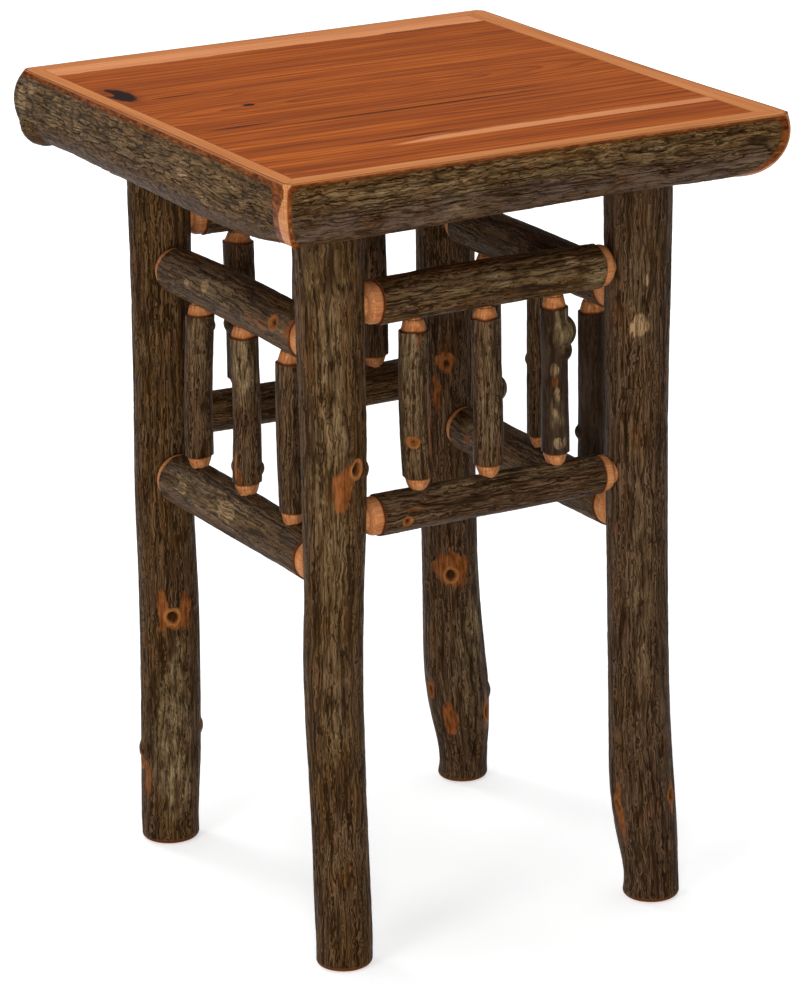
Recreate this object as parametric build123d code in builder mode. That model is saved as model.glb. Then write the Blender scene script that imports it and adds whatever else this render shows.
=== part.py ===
"""Rustic hickory table: bark-on poles joined with round tenons, under a plank top framed by half logs.

X runs along the front, Y towards the back and Z up. The origin is on the floor, under the middle of
the top. All lengths are millimetres. Every piece is written to parts/ as a STEP file of its own.
"""

from build123d import *
import os
from math import acos, asin, cos, degrees, pi, radians, sin, sqrt

# Overall sizes. The width and depth are those of the flat sawn surface; the bark stands a little proud.
top_width = 457.0
top_depth = 508.0
table_height = 705.0

# Boards of the top, from the front to the back. The last board takes what is left.
board_thickness = 20.0
board_widths = [54.0, 116.0, 170.0]

# Sawn strip that each edge log shows round the boards.
strip_widths = {"front": 18.0, "right": 21.0, "back": 16.0, "left": 14.0}

# The edge logs carry the boards in a rabbet. The lip is how far each log reaches in under them.
lip_reach = 40.0
mitre_run = 26.0

# The mitred corners are rasped round. The rounding stands this much proud where it leaves the bark.
corner_round = 9.0
corner_proud = 0.5
corner_stock = 20.0
corner_sections = 7
log_section_count = 9

# Cleats across the grain, which take the tenons on top of the legs.
cleat_thickness = 22.0
cleat_width = 72.0
cleat_offset = 143.0
cleat_chamfer = 3.0

# Legs: distance from the edge of the top to the leg's own straight line, and the tenon on its top.
leg_inset_x = 87.4
leg_inset_y = 89.9
leg_tenon_diameter = 32.0
leg_tenon_length = 20.0
foot_round = 4.5
leg_sections = 12

# Rails: the bark stops short of the leg, the end is peeled to a dome, and a round tenon goes in.
rail_tenon_diameter = 22.0
rail_tenon_length = 30.0
rail_dome_length = 12.0
rail_dome_round = 6.5
bark_thickness = 1.6

# Spindles: cut back to a cone at each end, with a smaller tenon.
spindle_tenon_diameter = 13.0
spindle_tenon_length = 18.0
spindle_cone_length = 10.0
spindle_neck_diameter = 16.0

# Screws, all of one gauge, with a pan head let into a counterbore.
screw_diameter = 4.2
screw_head_diameter = 8.4
screw_head_height = 2.8
screw_point_length = 4.0
screw_bite = 12.0
screw_drive_size = 2.6
screw_drive_depth = 1.4
cleat_bore_depth = 4.0
log_bore_floor = 26.0
log_screws_each = 3
screw_stagger = 25.0

# Cleat screws, two to a board: shares of the stretch of the board that the cleat crosses, from the
# front. They keep clear of the leg tops.
cleat_screw_shares = [(0.25, 0.65), (0.62, 0.86), (0.20, 0.79), (0.16, 0.92)]

# Clearances: glue in a joint, a screw in its hole, a shoulder against bark, and the space left at the
# bottom of a socket.
glue_gap = 0.1
screw_clearance = 0.15
head_clearance = 0.8
shoulder_clearance = 0.4
socket_end_gap = 1.5
tenon_chamfer = 1.0

board_underside = table_height - board_thickness
leg_height = board_underside - cleat_thickness
leg_line_x = top_width / 2 - leg_inset_x
leg_line_y = top_depth / 2 - leg_inset_y
cleat_length = top_depth - 2 * lip_reach - 2 * glue_gap

# Where each leg stands, and its stations from the floor up: share of the height, sway in X and Y from
# the straight line, and diameter. The poles keep the crooks and swellings they grew with.
leg_corners = {
    "front_left": (-1, -1),
    "front_right": (1, -1),
    "back_left": (-1, 1),
    "back_right": (1, 1),
}
leg_stations = {
    "front_left": [
        (0.00, -7.0, 3.7, 48.0),
        (0.08, -7.0, 3.7, 48.2),
        (0.22, -8.2, 4.4, 48.0),
        (0.38, -9.7, 5.2, 49.6),
        (0.50, -7.6, 4.0, 50.2),
        (0.65, -5.6, 3.0, 54.0),
        (0.84, -5.6, 3.0, 56.2),
        (1.00, -6.3, 3.4, 58.4),
    ],
    "front_right": [
        (0.00, 9.2, -4.9, 51.0),
        (0.065, 7.8, -4.1, 52.2),
        (0.155, 3.1, -1.7, 56.6),
        (0.26, 1.2, -0.6, 53.6),
        (0.40, 0.2, -0.1, 52.8),
        (0.65, -0.4, 0.2, 53.2),
        (0.84, 0.5, -0.3, 56.2),
        (1.00, 1.2, -0.6, 59.0),
    ],
    "back_left": [
        (0.00, -11.6, 6.1, 52.0),
        (0.06, -10.7, 5.7, 52.7),
        (0.16, -8.3, 4.4, 54.4),
        (0.33, -6.2, 3.3, 53.8),
        (0.50, -6.5, 3.4, 52.4),
        (0.65, -4.7, 2.5, 51.8),
        (0.84, -2.5, 1.3, 54.2),
        (1.00, -1.5, 0.7, 56.4),
    ],
    "back_right": [
        (0.00, 5.3, -2.8, 48.6),
        (0.07, 5.5, -2.9, 52.0),
        (0.14, 2.2, -1.2, 59.2),
        (0.23, -0.5, 0.3, 55.0),
        (0.37, -2.1, 1.1, 51.8),
        (0.65, -1.7, 0.9, 53.2),
        (0.84, -1.2, 0.6, 54.2),
        (1.00, -1.0, 0.5, 56.0),
    ],
}

# Knots on the legs: share of the height, direction in degrees from +X, radius, and how far it stands
# out of the bark.
leg_knots = {
    "front_left": [(0.662, -40.0, 13.0, 2.2)],
    "front_right": [(0.165, 10.0, 15.0, 2.0), (0.145, 196.0, 14.0, 2.2)],
    "back_left": [(0.345, -63.0, 14.0, 2.4), (0.13, 165.0, 15.0, 2.2), (0.16, -25.0, 13.0, 2.0)],
    "back_right": [(0.315, -72.0, 13.0, 2.4), (0.165, 195.0, 15.0, 2.4), (0.125, -12.0, 15.0, 2.6)],
}

# Rails: the two legs that each joins, its height, its diameters from the first leg to the second, and
# its crook (sideways, up) at the middle. The rails of neighbouring sides pass at different heights, so
# that their tenons miss each other inside the leg.
rails = {
    "rail_front_upper": ("front_left", "front_right", 573.3, (38.6, 39.2, 38.4), (0.6, 0.8)),
    "rail_front_lower": ("front_left", "front_right", 392.0, (35.6, 35.0, 34.4), (-0.6, 0.6)),
    "rail_back_upper": ("back_left", "back_right", 576.7, (38.0, 38.6, 38.0), (0.8, -0.6)),
    "rail_back_lower": ("back_left", "back_right", 395.4, (37.2, 36.6, 37.4), (-0.8, -0.8)),
    "rail_left_upper": ("front_left", "back_left", 540.0, (41.0, 41.6, 41.0), (-0.8, 1.2)),
    "rail_left_lower": ("front_left", "back_left", 350.3, (40.4, 44.2, 45.0), (-1.0, 0.8)),
    "rail_right_upper": ("front_right", "back_right", 542.7, (41.0, 41.4, 40.6), (0.9, 0.8)),
    "rail_right_lower": ("front_right", "back_right", 350.2, (42.0, 42.4, 41.6), (1.0, -0.8)),
}

# Spindles, three to a side: the side, their place along the rails at the bottom and at the top as a
# share of the way from the middle to a leg, diameters at the bottom, middle and top, and the crook
# (along, across) at the middle in millimetres.
spindles = {
    "spindle_front_1": ("front", -0.495, -0.504, (25.8, 25.6, 25.0), (-1.2, 0.6)),
    "spindle_front_2": ("front", -0.023, -0.028, (25.6, 24.8, 24.2), (0.8, -0.8)),
    "spindle_front_3": ("front", 0.437, 0.437, (24.4, 22.6, 23.8), (0.6, 0.8)),
    "spindle_back_1": ("back", -0.482, -0.482, (27.0, 27.6, 28.0), (0.9, 0.6)),
    "spindle_back_2": ("back", -0.011, 0.004, (26.8, 27.4, 26.6), (-0.9, -0.7)),
    "spindle_back_3": ("back", 0.457, 0.454, (27.2, 27.0, 26.8), (0.7, 0.8)),
    "spindle_left_1": ("left", -0.521, -0.515, (22.6, 24.2, 25.4), (0.8, -0.6)),
    "spindle_left_2": ("left", 0.001, 0.016, (25.6, 24.2, 24.6), (-1.0, 0.6)),
    "spindle_left_3": ("left", 0.561, 0.528, (25.0, 24.8, 25.2), (1.0, -0.8)),
    "spindle_right_1": ("right", -0.561, -0.561, (25.0, 24.8, 24.4), (0.6, 0.8)),
    "spindle_right_2": ("right", -0.037, -0.040, (25.2, 25.0, 24.6), (-0.8, -0.6)),
    "spindle_right_3": ("right", 0.548, 0.545, (25.6, 25.2, 25.0), (1.0, 0.8)),
}

# Knots on the rails (share of the bark length, degrees round from sideways, radius, height) and on the
# spindles (share of the bark length, degrees from +X, radius, height).
rail_knots = {
    "rail_left_upper": [(0.42, 70.0, 10.0, 1.6)],
    "rail_front_lower": [(0.14, 200.0, 9.0, 1.2)],
    "rail_right_lower": [(0.76, 20.0, 9.0, 1.2)],
}
spindle_knots = {
    "spindle_front_1": [(0.22, -105.0, 8.0, 1.2)],
    "spindle_front_3": [(0.83, -8.0, 15.0, 7.0), (0.70, -12.0, 11.5, 3.2)],
    "spindle_left_2": [(0.11, 160.0, 9.0, 1.0), (0.09, -28.0, 9.0, 2.2)],
    "spindle_left_3": [(0.93, -50.0, 7.0, 1.6)],
    "spindle_right_1": [(0.18, 150.0, 8.0, 2.6)],
    "spindle_right_2": [(0.52, 150.0, 8.0, 1.8)],
    "spindle_right_3": [(0.13, -40.0, 14.0, 5.0)],
    "spindle_back_1": [(0.40, 190.0, 10.0, 3.0)],
    "spindle_back_3": [(0.30, 100.0, 8.0, 2.0)],
}

# Shape of the edge logs at the four corners, as an oval: how far its middle is in from the edge, its
# half width, the depth of its middle and its half height. The first two are in strip widths, so that
# the two logs of a mitre meet in one outline. The others are lengths.
corner_ovals = {
    "front_left": (1.49, 1.75, 20.0, 38.0),
    "front_right": (1.61, 1.90, 13.5, 42.0),
    "back_right": (1.63, 1.86, 15.0, 41.0),
    "back_left": (1.77, 2.35, 27.0, 41.0),
}

# A burl swells out under one corner: how far its middle is in from both edges, its depth and radius.
corner_burls = {"back_left": (13.5, 46.0, 22.2)}

# Shape of the edge logs between their corners: share of the length, then the same four values, all
# of them lengths.
log_ovals = {
    "front": [
        (0.24, 31.1, 34.0, 17.0, 42.0),
        (0.45, 31.6, 35.0, 17.0, 39.5),
        (0.66, 32.6, 36.0, 16.5, 39.0),
    ],
    "right": [(0.33, 30.5, 34.0, 18.0, 41.0), (0.66, 29.8, 33.0, 18.0, 42.0)],
    "back": [(0.33, 28.3, 31.5, 18.0, 41.0), (0.66, 29.2, 33.0, 20.0, 43.0)],
    "left": [
        (0.10, 27.1, 33.0, 24.0, 42.0),
        (0.17, 27.6, 32.5, 24.0, 45.5),
        (0.45, 29.0, 34.0, 24.0, 46.0),
        (0.66, 29.2, 34.0, 24.0, 47.0),
        (0.80, 28.3, 33.0, 23.0, 44.5),
        (0.90, 25.2, 30.0, 21.5, 39.5),
    ],
}
log_ends = {
    "front": ("front_left", "front_right", "left", "right"),
    "right": ("front_right", "back_right", "front", "back"),
    "back": ("back_right", "back_left", "right", "left"),
    "left": ("back_left", "front_left", "back", "front"),
}

os.makedirs("parts", exist_ok=True)


def save(part, name):
    """Label a finished piece and write it to its own file."""
    part.label = name
    export_step(part, "parts/" + name + ".step")


def between(low, high, share):
    return low + (high - low) * share


def smooth(stations, place):
    """Values at a place between stations, on a curve that passes through every station."""
    index = 1
    while index < len(stations) - 1 and stations[index][0] < place:
        index += 1
    low, high = stations[index - 1], stations[index]
    before, after = stations[max(index - 2, 0)], stations[min(index + 1, len(stations) - 1)]
    span = high[0] - low[0]
    t = (place - low[0]) / span
    values = []
    for k in range(1, len(low)):
        rise_low = span * (high[k] - before[k]) / (high[0] - before[0])
        rise_high = span * (after[k] - low[k]) / (after[0] - low[0])
        blend = (2 * t**3 - 3 * t**2 + 1) * low[k] + (3 * t**2 - 2 * t**3) * high[k]
        values.append(blend + (t**3 - 2 * t**2 + t) * rise_low + (t**3 - t**2) * rise_high)
    return values


def leg_at(name, height):
    """Centre and radius of a leg at a height."""
    sway_x, sway_y, diameter = smooth(leg_stations[name], height / leg_height)
    side_x, side_y = leg_corners[name]
    return side_x * leg_line_x + sway_x, side_y * leg_line_y + sway_y, diameter / 2


def rail_line(name):
    """A rail's axis: its direction, where its two shoulders meet the legs, and its diameters."""
    first, second, height, diameters, crook = rails[name]
    x1, y1, r1 = leg_at(first, height)
    x2, y2, r2 = leg_at(second, height)
    if leg_corners[first][1] == leg_corners[second][1]:
        across = (y1 + y2) / 2
        start = x1 + sqrt(r1**2 - (across - y1) ** 2) + shoulder_clearance
        end = x2 - sqrt(r2**2 - (across - y2) ** 2) - shoulder_clearance
        frame = Plane(origin=(start, across, height), x_dir=(0, 1, 0), z_dir=(1, 0, 0))
    else:
        across = (x1 + x2) / 2
        start = y1 + sqrt(r1**2 - (across - x1) ** 2) + shoulder_clearance
        end = y2 - sqrt(r2**2 - (across - x2) ** 2) - shoulder_clearance
        frame = Plane(origin=(across, start, height), x_dir=(-1, 0, 0), z_dir=(0, 1, 0))
    return frame, start, end - start, across


def rail_stations(name):
    """Distance from the first shoulder, sideways and upward crook, and radius, along the bark."""
    diameters, crook = rails[name][3], rails[name][4]
    length = rail_line(name)[2]
    stretch = length - 2 * rail_dome_length
    shares = [0.0, 0.28, 0.5, 0.74, 1.0]
    bend = [0.0, 0.8, 1.0, 0.7, 0.0]
    stations = []
    for share, bent in zip(shares, bend):
        if share <= 0.5:
            diameter = between(diameters[0], diameters[1], share * 2)
        else:
            diameter = between(diameters[1], diameters[2], share * 2 - 1)
        along = rail_dome_length + share * stretch
        stations.append((along, crook[0] * bent, crook[1] * bent, diameter / 2))
    return stations


def rail_at(name, place):
    """Offset across and up, and radius, of a rail at a place along its side."""
    return smooth(rail_stations(name), place - rail_line(name)[1])


def spindle_ends(name):
    """Where a spindle's shoulders sit: (x, y, z) on the crown of the lower and of the upper rail."""
    side, low_share, high_share = spindles[name][:3]
    reach = leg_line_x if side in ("front", "back") else leg_line_y
    ends = []
    for share, rail, sign in ((low_share, "lower", 1), (high_share, "upper", -1)):
        place = share * reach
        rail_name = "rail_" + side + "_" + rail
        sideways, upward, radius = rail_at(rail_name, place)
        across = rail_line(rail_name)[3]
        height = rails[rail_name][2] + upward + sign * (radius + shoulder_clearance)
        if side in ("front", "back"):
            ends.append((place, across + sideways, height))
        else:
            ends.append((across - sideways, place, height))
    return ends


def make_leg(name):
    """A tapering, crooked pole with a rounded foot, knots, a tenon on top and a socket for each rail."""
    with BuildPart() as leg:
        for step in range(leg_sections + 1):
            height = leg_height * step / leg_sections
            x, y, radius = leg_at(name, height)
            with BuildSketch(Plane.XY.offset(height)):
                with Locations((x, y)):
                    Circle(radius)
        loft()
        fillet(leg.edges().group_by(Axis.Z)[0], foot_round)
        for share, angle, size, proud in leg_knots[name]:
            x, y, radius = leg_at(name, share * leg_height)
            reach = radius + proud - size
            turn = radians(angle)
            with Locations((x + reach * cos(turn), y + reach * sin(turn), share * leg_height)):
                Sphere(size)
        x, y, radius = leg_at(name, leg_height)
        with BuildSketch(Plane.XY.offset(leg_height)):
            with Locations((x, y)):
                Circle(leg_tenon_diameter / 2)
        extrude(amount=leg_tenon_length)
        chamfer(leg.edges().group_by(Axis.Z)[-1], tenon_chamfer)
        for rail_name, rail in rails.items():
            if name in rail[:2]:
                frame, start, length, across = rail_line(rail_name)
                mouth = frame if name == rail[0] else frame.offset(length)
                direction = 1 if name == rail[0] else -1
                socket = Plane(mouth.origin, x_dir=mouth.x_dir, z_dir=mouth.z_dir * direction)
                with Locations(socket.location):
                    Hole(rail_tenon_diameter / 2 + glue_gap, depth=rail_tenon_length + socket_end_gap)
    save(leg.part, "leg_" + name)


def make_rail(name):
    """A log with a peeled dome and a round tenon at each end, and a socket for each of its spindles."""
    frame, start, length, across = rail_line(name)
    stations = rail_stations(name)
    with BuildPart() as rail:
        for along, sideways, upward, radius in stations:
            with BuildSketch(frame.offset(along)):
                with Locations((sideways, upward)):
                    Circle(radius)
        loft()
        for share, angle, size, proud in rail_knots.get(name, []):
            sideways, upward, radius = rail_at(name, start + share * length)
            reach = radius + proud - size
            turn = radians(angle)
            spot = frame.offset(share * length)
            spot = spot.move(Location(spot.x_dir * (sideways + reach * cos(turn))))
            spot = spot.move(Location(spot.y_dir * (upward + reach * sin(turn))))
            with Locations(spot.location):
                Sphere(size)
        for end, radius, outward in ((0.0, stations[0][3], -1), (length, stations[-1][3], 1)):
            face = radius - bark_thickness
            away = Plane(frame.offset(end).origin, x_dir=frame.y_dir, z_dir=frame.x_dir)
            axis = Axis(frame.offset(end).origin, frame.z_dir)
            tenon = rail_tenon_diameter / 2
            side = outward * (1 if away.y_dir.dot(frame.z_dir) > 0 else -1)
            with BuildSketch(away):
                with BuildLine():
                    flank = Line((face, -side * rail_dome_length), (face, -side * rail_dome_round))
                    dome = TangentArc(flank @ 1, (face - rail_dome_round, 0), tangent=flank % 1)
                    Polyline(
                        dome @ 1,
                        (tenon, 0),
                        (tenon, side * (rail_tenon_length - tenon_chamfer)),
                        (tenon - tenon_chamfer, side * rail_tenon_length),
                        (0, side * rail_tenon_length),
                        (0, -side * rail_dome_length),
                        flank @ 0,
                    )
                make_face()
            revolve(axis=axis)
        for spindle_name, spindle in spindles.items():
            if name.startswith("rail_" + spindle[0]):
                lower = name.endswith("lower")
                x, y, z = spindle_ends(spindle_name)[0 if lower else 1]
                mouth = Plane((x, y, z), z_dir=(0, 0, 1 if lower else -1))
                with Locations(mouth.location):
                    Hole(
                        spindle_tenon_diameter / 2 + glue_gap,
                        depth=spindle_tenon_length + socket_end_gap,
                    )
    save(rail.part, name)


def make_spindle(name):
    """A short stick of bark with a peeled cone and a small tenon at each end."""
    diameters, crook = spindles[name][3], spindles[name][4]
    low, high = spindle_ends(name)
    along_x = spindles[name][0] in ("front", "back")
    bark_low = low[2] + spindle_cone_length
    bark_high = high[2] - spindle_cone_length
    neck = spindle_neck_diameter / 2
    with BuildPart() as spindle:
        for share, bent, diameter in (
            (0.0, 0.0, diameters[0]),
            (0.3, 0.8, between(diameters[0], diameters[1], 0.6)),
            (0.55, 1.0, diameters[1]),
            (0.8, 0.5, between(diameters[1], diameters[2], 0.5)),
            (1.0, 0.0, diameters[2]),
        ):
            offset_x = bent * (crook[0] if along_x else crook[1])
            offset_y = bent * (crook[1] if along_x else crook[0])
            place = (between(low[0], high[0], share) + offset_x, between(low[1], high[1], share) + offset_y)
            with BuildSketch(Plane.XY.offset(between(bark_low, bark_high, share))):
                with Locations(place):
                    Circle(diameter / 2)
        loft()
        for share, angle, size, proud in spindle_knots.get(name, []):
            radius = between(diameters[0], diameters[2], share) / 2
            reach = radius + proud - size
            turn = radians(angle)
            x = between(low[0], high[0], share) + reach * cos(turn)
            y = between(low[1], high[1], share) + reach * sin(turn)
            with Locations((x, y, between(bark_low, bark_high, share))):
                Sphere(size)
        for end, diameter, outward in ((low, diameters[0], -1), (high, diameters[2], 1)):
            shoulder = Plane(end, z_dir=(0, 0, outward))
            with Locations(shoulder.offset(-spindle_cone_length).location):
                Cone(
                    diameter / 2 - bark_thickness,
                    neck,
                    spindle_cone_length,
                    align=(Align.CENTER, Align.CENTER, Align.MIN),
                )
            with Locations(shoulder.location):
                Cylinder(
                    spindle_tenon_diameter / 2,
                    spindle_tenon_length,
                    align=(Align.CENTER, Align.CENTER, Align.MIN),
                )
        chamfer(spindle.edges().group_by(Axis.Z)[0], tenon_chamfer)
        chamfer(spindle.edges().group_by(Axis.Z)[-1], tenon_chamfer)
    save(spindle.part, name)


def side_frame(side):
    """Plane at the first corner of a side: x points in under the top, y up and z along the log."""
    half_w, half_d = top_width / 2, top_depth / 2
    return {
        "front": Plane((-half_w, -half_d, table_height), x_dir=(0, 1, 0), z_dir=(1, 0, 0)),
        "right": Plane((half_w, -half_d, table_height), x_dir=(-1, 0, 0), z_dir=(0, 1, 0)),
        "back": Plane((half_w, half_d, table_height), x_dir=(0, -1, 0), z_dir=(-1, 0, 0)),
        "left": Plane((-half_w, half_d, table_height), x_dir=(1, 0, 0), z_dir=(0, -1, 0)),
    }[side]


def side_length(side):
    return top_width if side in ("front", "back") else top_depth


def log_sections(side):
    """Ovals along an edge log: distance from its first corner, offset, half width, depth, half height."""
    length = side_length(side)
    strip = strip_widths[side]
    ends = []
    for corner in log_ends[side][:2]:
        offset, half_width, depth, half_height = corner_ovals[corner]
        ends.append((offset * strip, half_width * strip, depth, half_height))
    stations = [(mitre_run, *ends[0])]
    for share, *oval in log_ovals[side]:
        stations.append((share * length, *oval))
    stations.append((length - mitre_run, *ends[1]))
    sections = [(along, *ends[0]) for along in (-mitre_run, 0.0)]
    for step in range(log_section_count + 1):
        along = between(mitre_run, length - mitre_run, step / log_section_count)
        sections.append((along, *smooth(stations, along)))
    sections += [(along, *ends[1]) for along in (length, length + mitre_run)]
    return sections


def corner_edge(corner, depth):
    """Plan position of a mitred corner's outer edge at a depth, before it is rounded."""
    side_x, side_y = leg_corners[corner]
    offset, half_width, middle, half_height = corner_ovals[corner]
    strips = offset - half_width * sqrt(1 - ((depth - middle) / half_height) ** 2)
    inward_x = strips * strip_widths["left" if side_x < 0 else "right"]
    inward_y = strips * strip_widths["front" if side_y < 0 else "back"]
    return side_x * (top_width / 2 - inward_x), side_y * (top_depth / 2 - inward_y)


def log_screw_places(side):
    """Distances along an edge log at which it is screwed up into the boards."""
    length = side_length(side)
    step = (length - 2 * lip_reach) / log_screws_each
    return [lip_reach + step * (k + 0.5) for k in range(log_screws_each)]


def make_edge_log(side):
    """Half-round log, flat on top, with a rabbet for the boards, mitred and rounded at both corners."""
    frame = side_frame(side)
    strip = strip_widths[side]
    length = side_length(side)
    first_side, last_side = log_ends[side][2:]
    inward = (strip + lip_reach) / 2
    with BuildPart() as log:
        for along, offset, half_width, depth, half_height in log_sections(side):
            start_angle = 180 - degrees(asin(depth / half_height))
            end_angle = 360 - degrees(acos((lip_reach - offset) / half_width))
            with BuildSketch(frame.offset(along)):
                with BuildLine():
                    bark = EllipticalCenterArc(
                        (offset, -depth),
                        half_width,
                        half_height,
                        start_angle,
                        arc_size=end_angle - start_angle,
                    )
                    Polyline(
                        bark @ 1,
                        (lip_reach, -board_thickness),
                        (strip, -board_thickness),
                        (strip, 0),
                        bark @ 0,
                    )
                make_face()
        loft()
        for corner in log_ends[side][:2]:
            side_x, side_y = leg_corners[corner]
            middle, half_height = corner_ovals[corner][2:]
            for step in range(corner_sections + 1):
                depth = between(-1.0, middle + 0.94 * half_height, step / corner_sections)
                radius = 1.0 + corner_round * (1 - (step / corner_sections) ** 3)
                edge_x, edge_y = corner_edge(corner, depth)
                x = edge_x - side_x * (radius - corner_proud)
                y = edge_y - side_y * (radius - corner_proud)
                far_x = edge_x + side_x * corner_stock
                far_y = edge_y + side_y * corner_stock
                with BuildSketch(Plane.XY.offset(table_height - depth)):
                    with BuildLine():
                        tip = (x + side_x * radius * cos(pi / 4), y + side_y * radius * sin(pi / 4))
                        ThreePointArc((x + side_x * radius, y), tip, (x, y + side_y * radius))
                        Polyline(
                            (x, y + side_y * radius),
                            (x, far_y),
                            (far_x, far_y),
                            (far_x, y),
                            (x + side_x * radius, y),
                        )
                    make_face()
            loft(mode=Mode.SUBTRACT)
            if corner in corner_burls:
                inset, depth, radius = corner_burls[corner]
                x = side_x * (top_width / 2 - inset)
                y = side_y * (top_depth / 2 - inset)
                with Locations((x, y, table_height - depth)):
                    Sphere(radius)
        for corner, other, turn in ((0.0, first_side, 1), (length, last_side, -1)):
            at = frame.offset(corner)
            along_mitre = frame.x_dir * strip + frame.z_dir * (turn * strip_widths[other])
            normal = along_mitre.cross(frame.y_dir).normalized() * turn
            if normal.dot(frame.z_dir) * turn < 0:
                normal = normal * -1
            mitre = Plane(at.origin, x_dir=frame.y_dir, z_dir=normal).offset(glue_gap / 2)
            split(bisect_by=mitre, keep=Keep.TOP)
        for place in log_screw_places(side):
            head = board_thickness + log_bore_floor
            at = frame.offset(place).origin + frame.x_dir * inward - frame.y_dir * head
            mouth = Plane(at, z_dir=(0, 0, -1))
            with Locations(mouth.location):
                Hole(screw_diameter / 2 + screw_clearance, depth=log_bore_floor + 1)
                Cylinder(
                    screw_head_diameter / 2 + head_clearance,
                    table_height / 4,
                    align=(Align.CENTER, Align.CENTER, Align.MIN),
                    mode=Mode.SUBTRACT,
                )
    save(log.part, "edge_log_" + side)


def board_edges():
    """Front and back edge of each board, in Y."""
    front = -top_depth / 2 + strip_widths["front"]
    back = top_depth / 2 - strip_widths["back"]
    edges = [front]
    for width in board_widths:
        edges.append(edges[-1] + width)
    edges.append(back)
    return list(zip(edges[:-1], edges[1:]))


def cleat_screw_places(side_x):
    """Screws of one cleat: two to a board, staggered to either side of the cleat's middle."""
    half_length = cleat_length / 2
    places = []
    for (front, back), shares in zip(board_edges(), cleat_screw_shares):
        for share, stagger in zip(shares, (-screw_stagger, screw_stagger)):
            row = between(max(front, -half_length), min(back, half_length), share)
            places.append((side_x * cleat_offset + stagger, row))
    return places


def log_screw_points():
    """Plan positions of the screws that hold the edge logs."""
    points = []
    for side in strip_widths:
        frame = side_frame(side)
        inward = (strip_widths[side] + lip_reach) / 2
        for place in log_screw_places(side):
            at = frame.offset(place).origin + frame.x_dir * inward
            points.append((at.X, at.Y))
    return points


def make_board(number, front, back):
    """One board, with its grain along X, bored from below for the screws that reach into it."""
    left = -top_width / 2 + strip_widths["left"] + glue_gap
    right = top_width / 2 - strip_widths["right"] - glue_gap
    points = log_screw_points() + cleat_screw_places(-1) + cleat_screw_places(1)
    with BuildPart() as board:
        with BuildSketch(Plane.XY.offset(board_underside + glue_gap)):
            with Locations(((left + right) / 2, (front + back) / 2)):
                Rectangle(right - left, back - front - glue_gap)
        extrude(amount=board_thickness - glue_gap)
        for x, y in points:
            if front < y < back:
                with Locations(Plane((x, y, board_underside + glue_gap), z_dir=(0, 0, -1)).location):
                    Hole(screw_diameter / 2 + screw_clearance, depth=screw_bite + socket_end_gap)
    save(board.part, "top_board_" + str(number))


def make_cleat(name, side_x):
    """Flat batten across the boards, bored for two leg tenons and counterbored for its screws."""
    underside = board_underside - cleat_thickness
    with BuildPart() as cleat:
        with BuildSketch(Plane.XY.offset(underside)):
            with Locations((side_x * cleat_offset, 0)):
                Rectangle(cleat_width, cleat_length)
        extrude(amount=cleat_thickness)
        chamfer(cleat.edges().group_by(Axis.Z)[0], cleat_chamfer)
        for leg_name, (leg_x, leg_y) in leg_corners.items():
            if leg_x == side_x:
                x, y, radius = leg_at(leg_name, leg_height)
                with Locations(Plane((x, y, underside), z_dir=(0, 0, -1)).location):
                    Hole(leg_tenon_diameter / 2 + glue_gap)
        for x, y in cleat_screw_places(side_x):
            with Locations(Plane((x, y, underside), z_dir=(0, 0, -1)).location):
                CounterBoreHole(
                    screw_diameter / 2 + screw_clearance,
                    screw_head_diameter / 2 + head_clearance,
                    cleat_bore_depth,
                )
    save(cleat.part, name)


def make_screws(name, points, shank_length, seat):
    """A group of pan-head screws pointing up, their heads seated at one height."""
    radius = screw_diameter / 2
    with BuildPart() as screws:
        for x, y in points:
            under_head = Plane((x, y, seat - glue_gap))
            with Locations(under_head.location):
                Cylinder(
                    radius,
                    shank_length - screw_point_length,
                    align=(Align.CENTER, Align.CENTER, Align.MIN),
                )
            with Locations(under_head.offset(shank_length - screw_point_length).location):
                Cone(
                    radius,
                    radius / 4,
                    screw_point_length,
                    align=(Align.CENTER, Align.CENTER, Align.MIN),
                )
            with Locations(under_head.location):
                Cylinder(
                    screw_head_diameter / 2,
                    screw_head_height,
                    align=(Align.CENTER, Align.CENTER, Align.MAX),
                )
            with Locations(under_head.offset(-screw_head_height).location):
                Box(
                    screw_drive_size,
                    screw_drive_size,
                    screw_drive_depth,
                    align=(Align.CENTER, Align.CENTER, Align.MIN),
                    mode=Mode.SUBTRACT,
                )
    save(screws.part, name)


for leg_name in leg_corners:
    make_leg(leg_name)
for rail_name in rails:
    make_rail(rail_name)
for spindle_name in spindles:
    make_spindle(spindle_name)
for log_side in strip_widths:
    make_edge_log(log_side)
for board_number, (front_edge, back_edge) in enumerate(board_edges(), start=1):
    make_board(board_number, front_edge, back_edge)
make_cleat("cleat_left", -1)
make_cleat("cleat_right", 1)
make_screws(
    "cleat_screws",
    cleat_screw_places(-1) + cleat_screw_places(1),
    cleat_thickness - cleat_bore_depth + screw_bite,
    board_underside - cleat_thickness + cleat_bore_depth,
)
make_screws(
    "edge_log_screws",
    log_screw_points(),
    log_bore_floor + screw_bite,
    board_underside - log_bore_floor,
)
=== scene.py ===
"""Looks of the rustic hickory table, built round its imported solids. All lengths are metres.

Every pole, stick and edge log gets bark in real relief, wrapped on its own solid. The boards, the
cleats and the screws keep their solids and get their finish here.
"""

import math

import bpy
import numpy as np
from mathutils import Matrix, Vector
from mathutils.bvhtree import BVHTree


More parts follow.
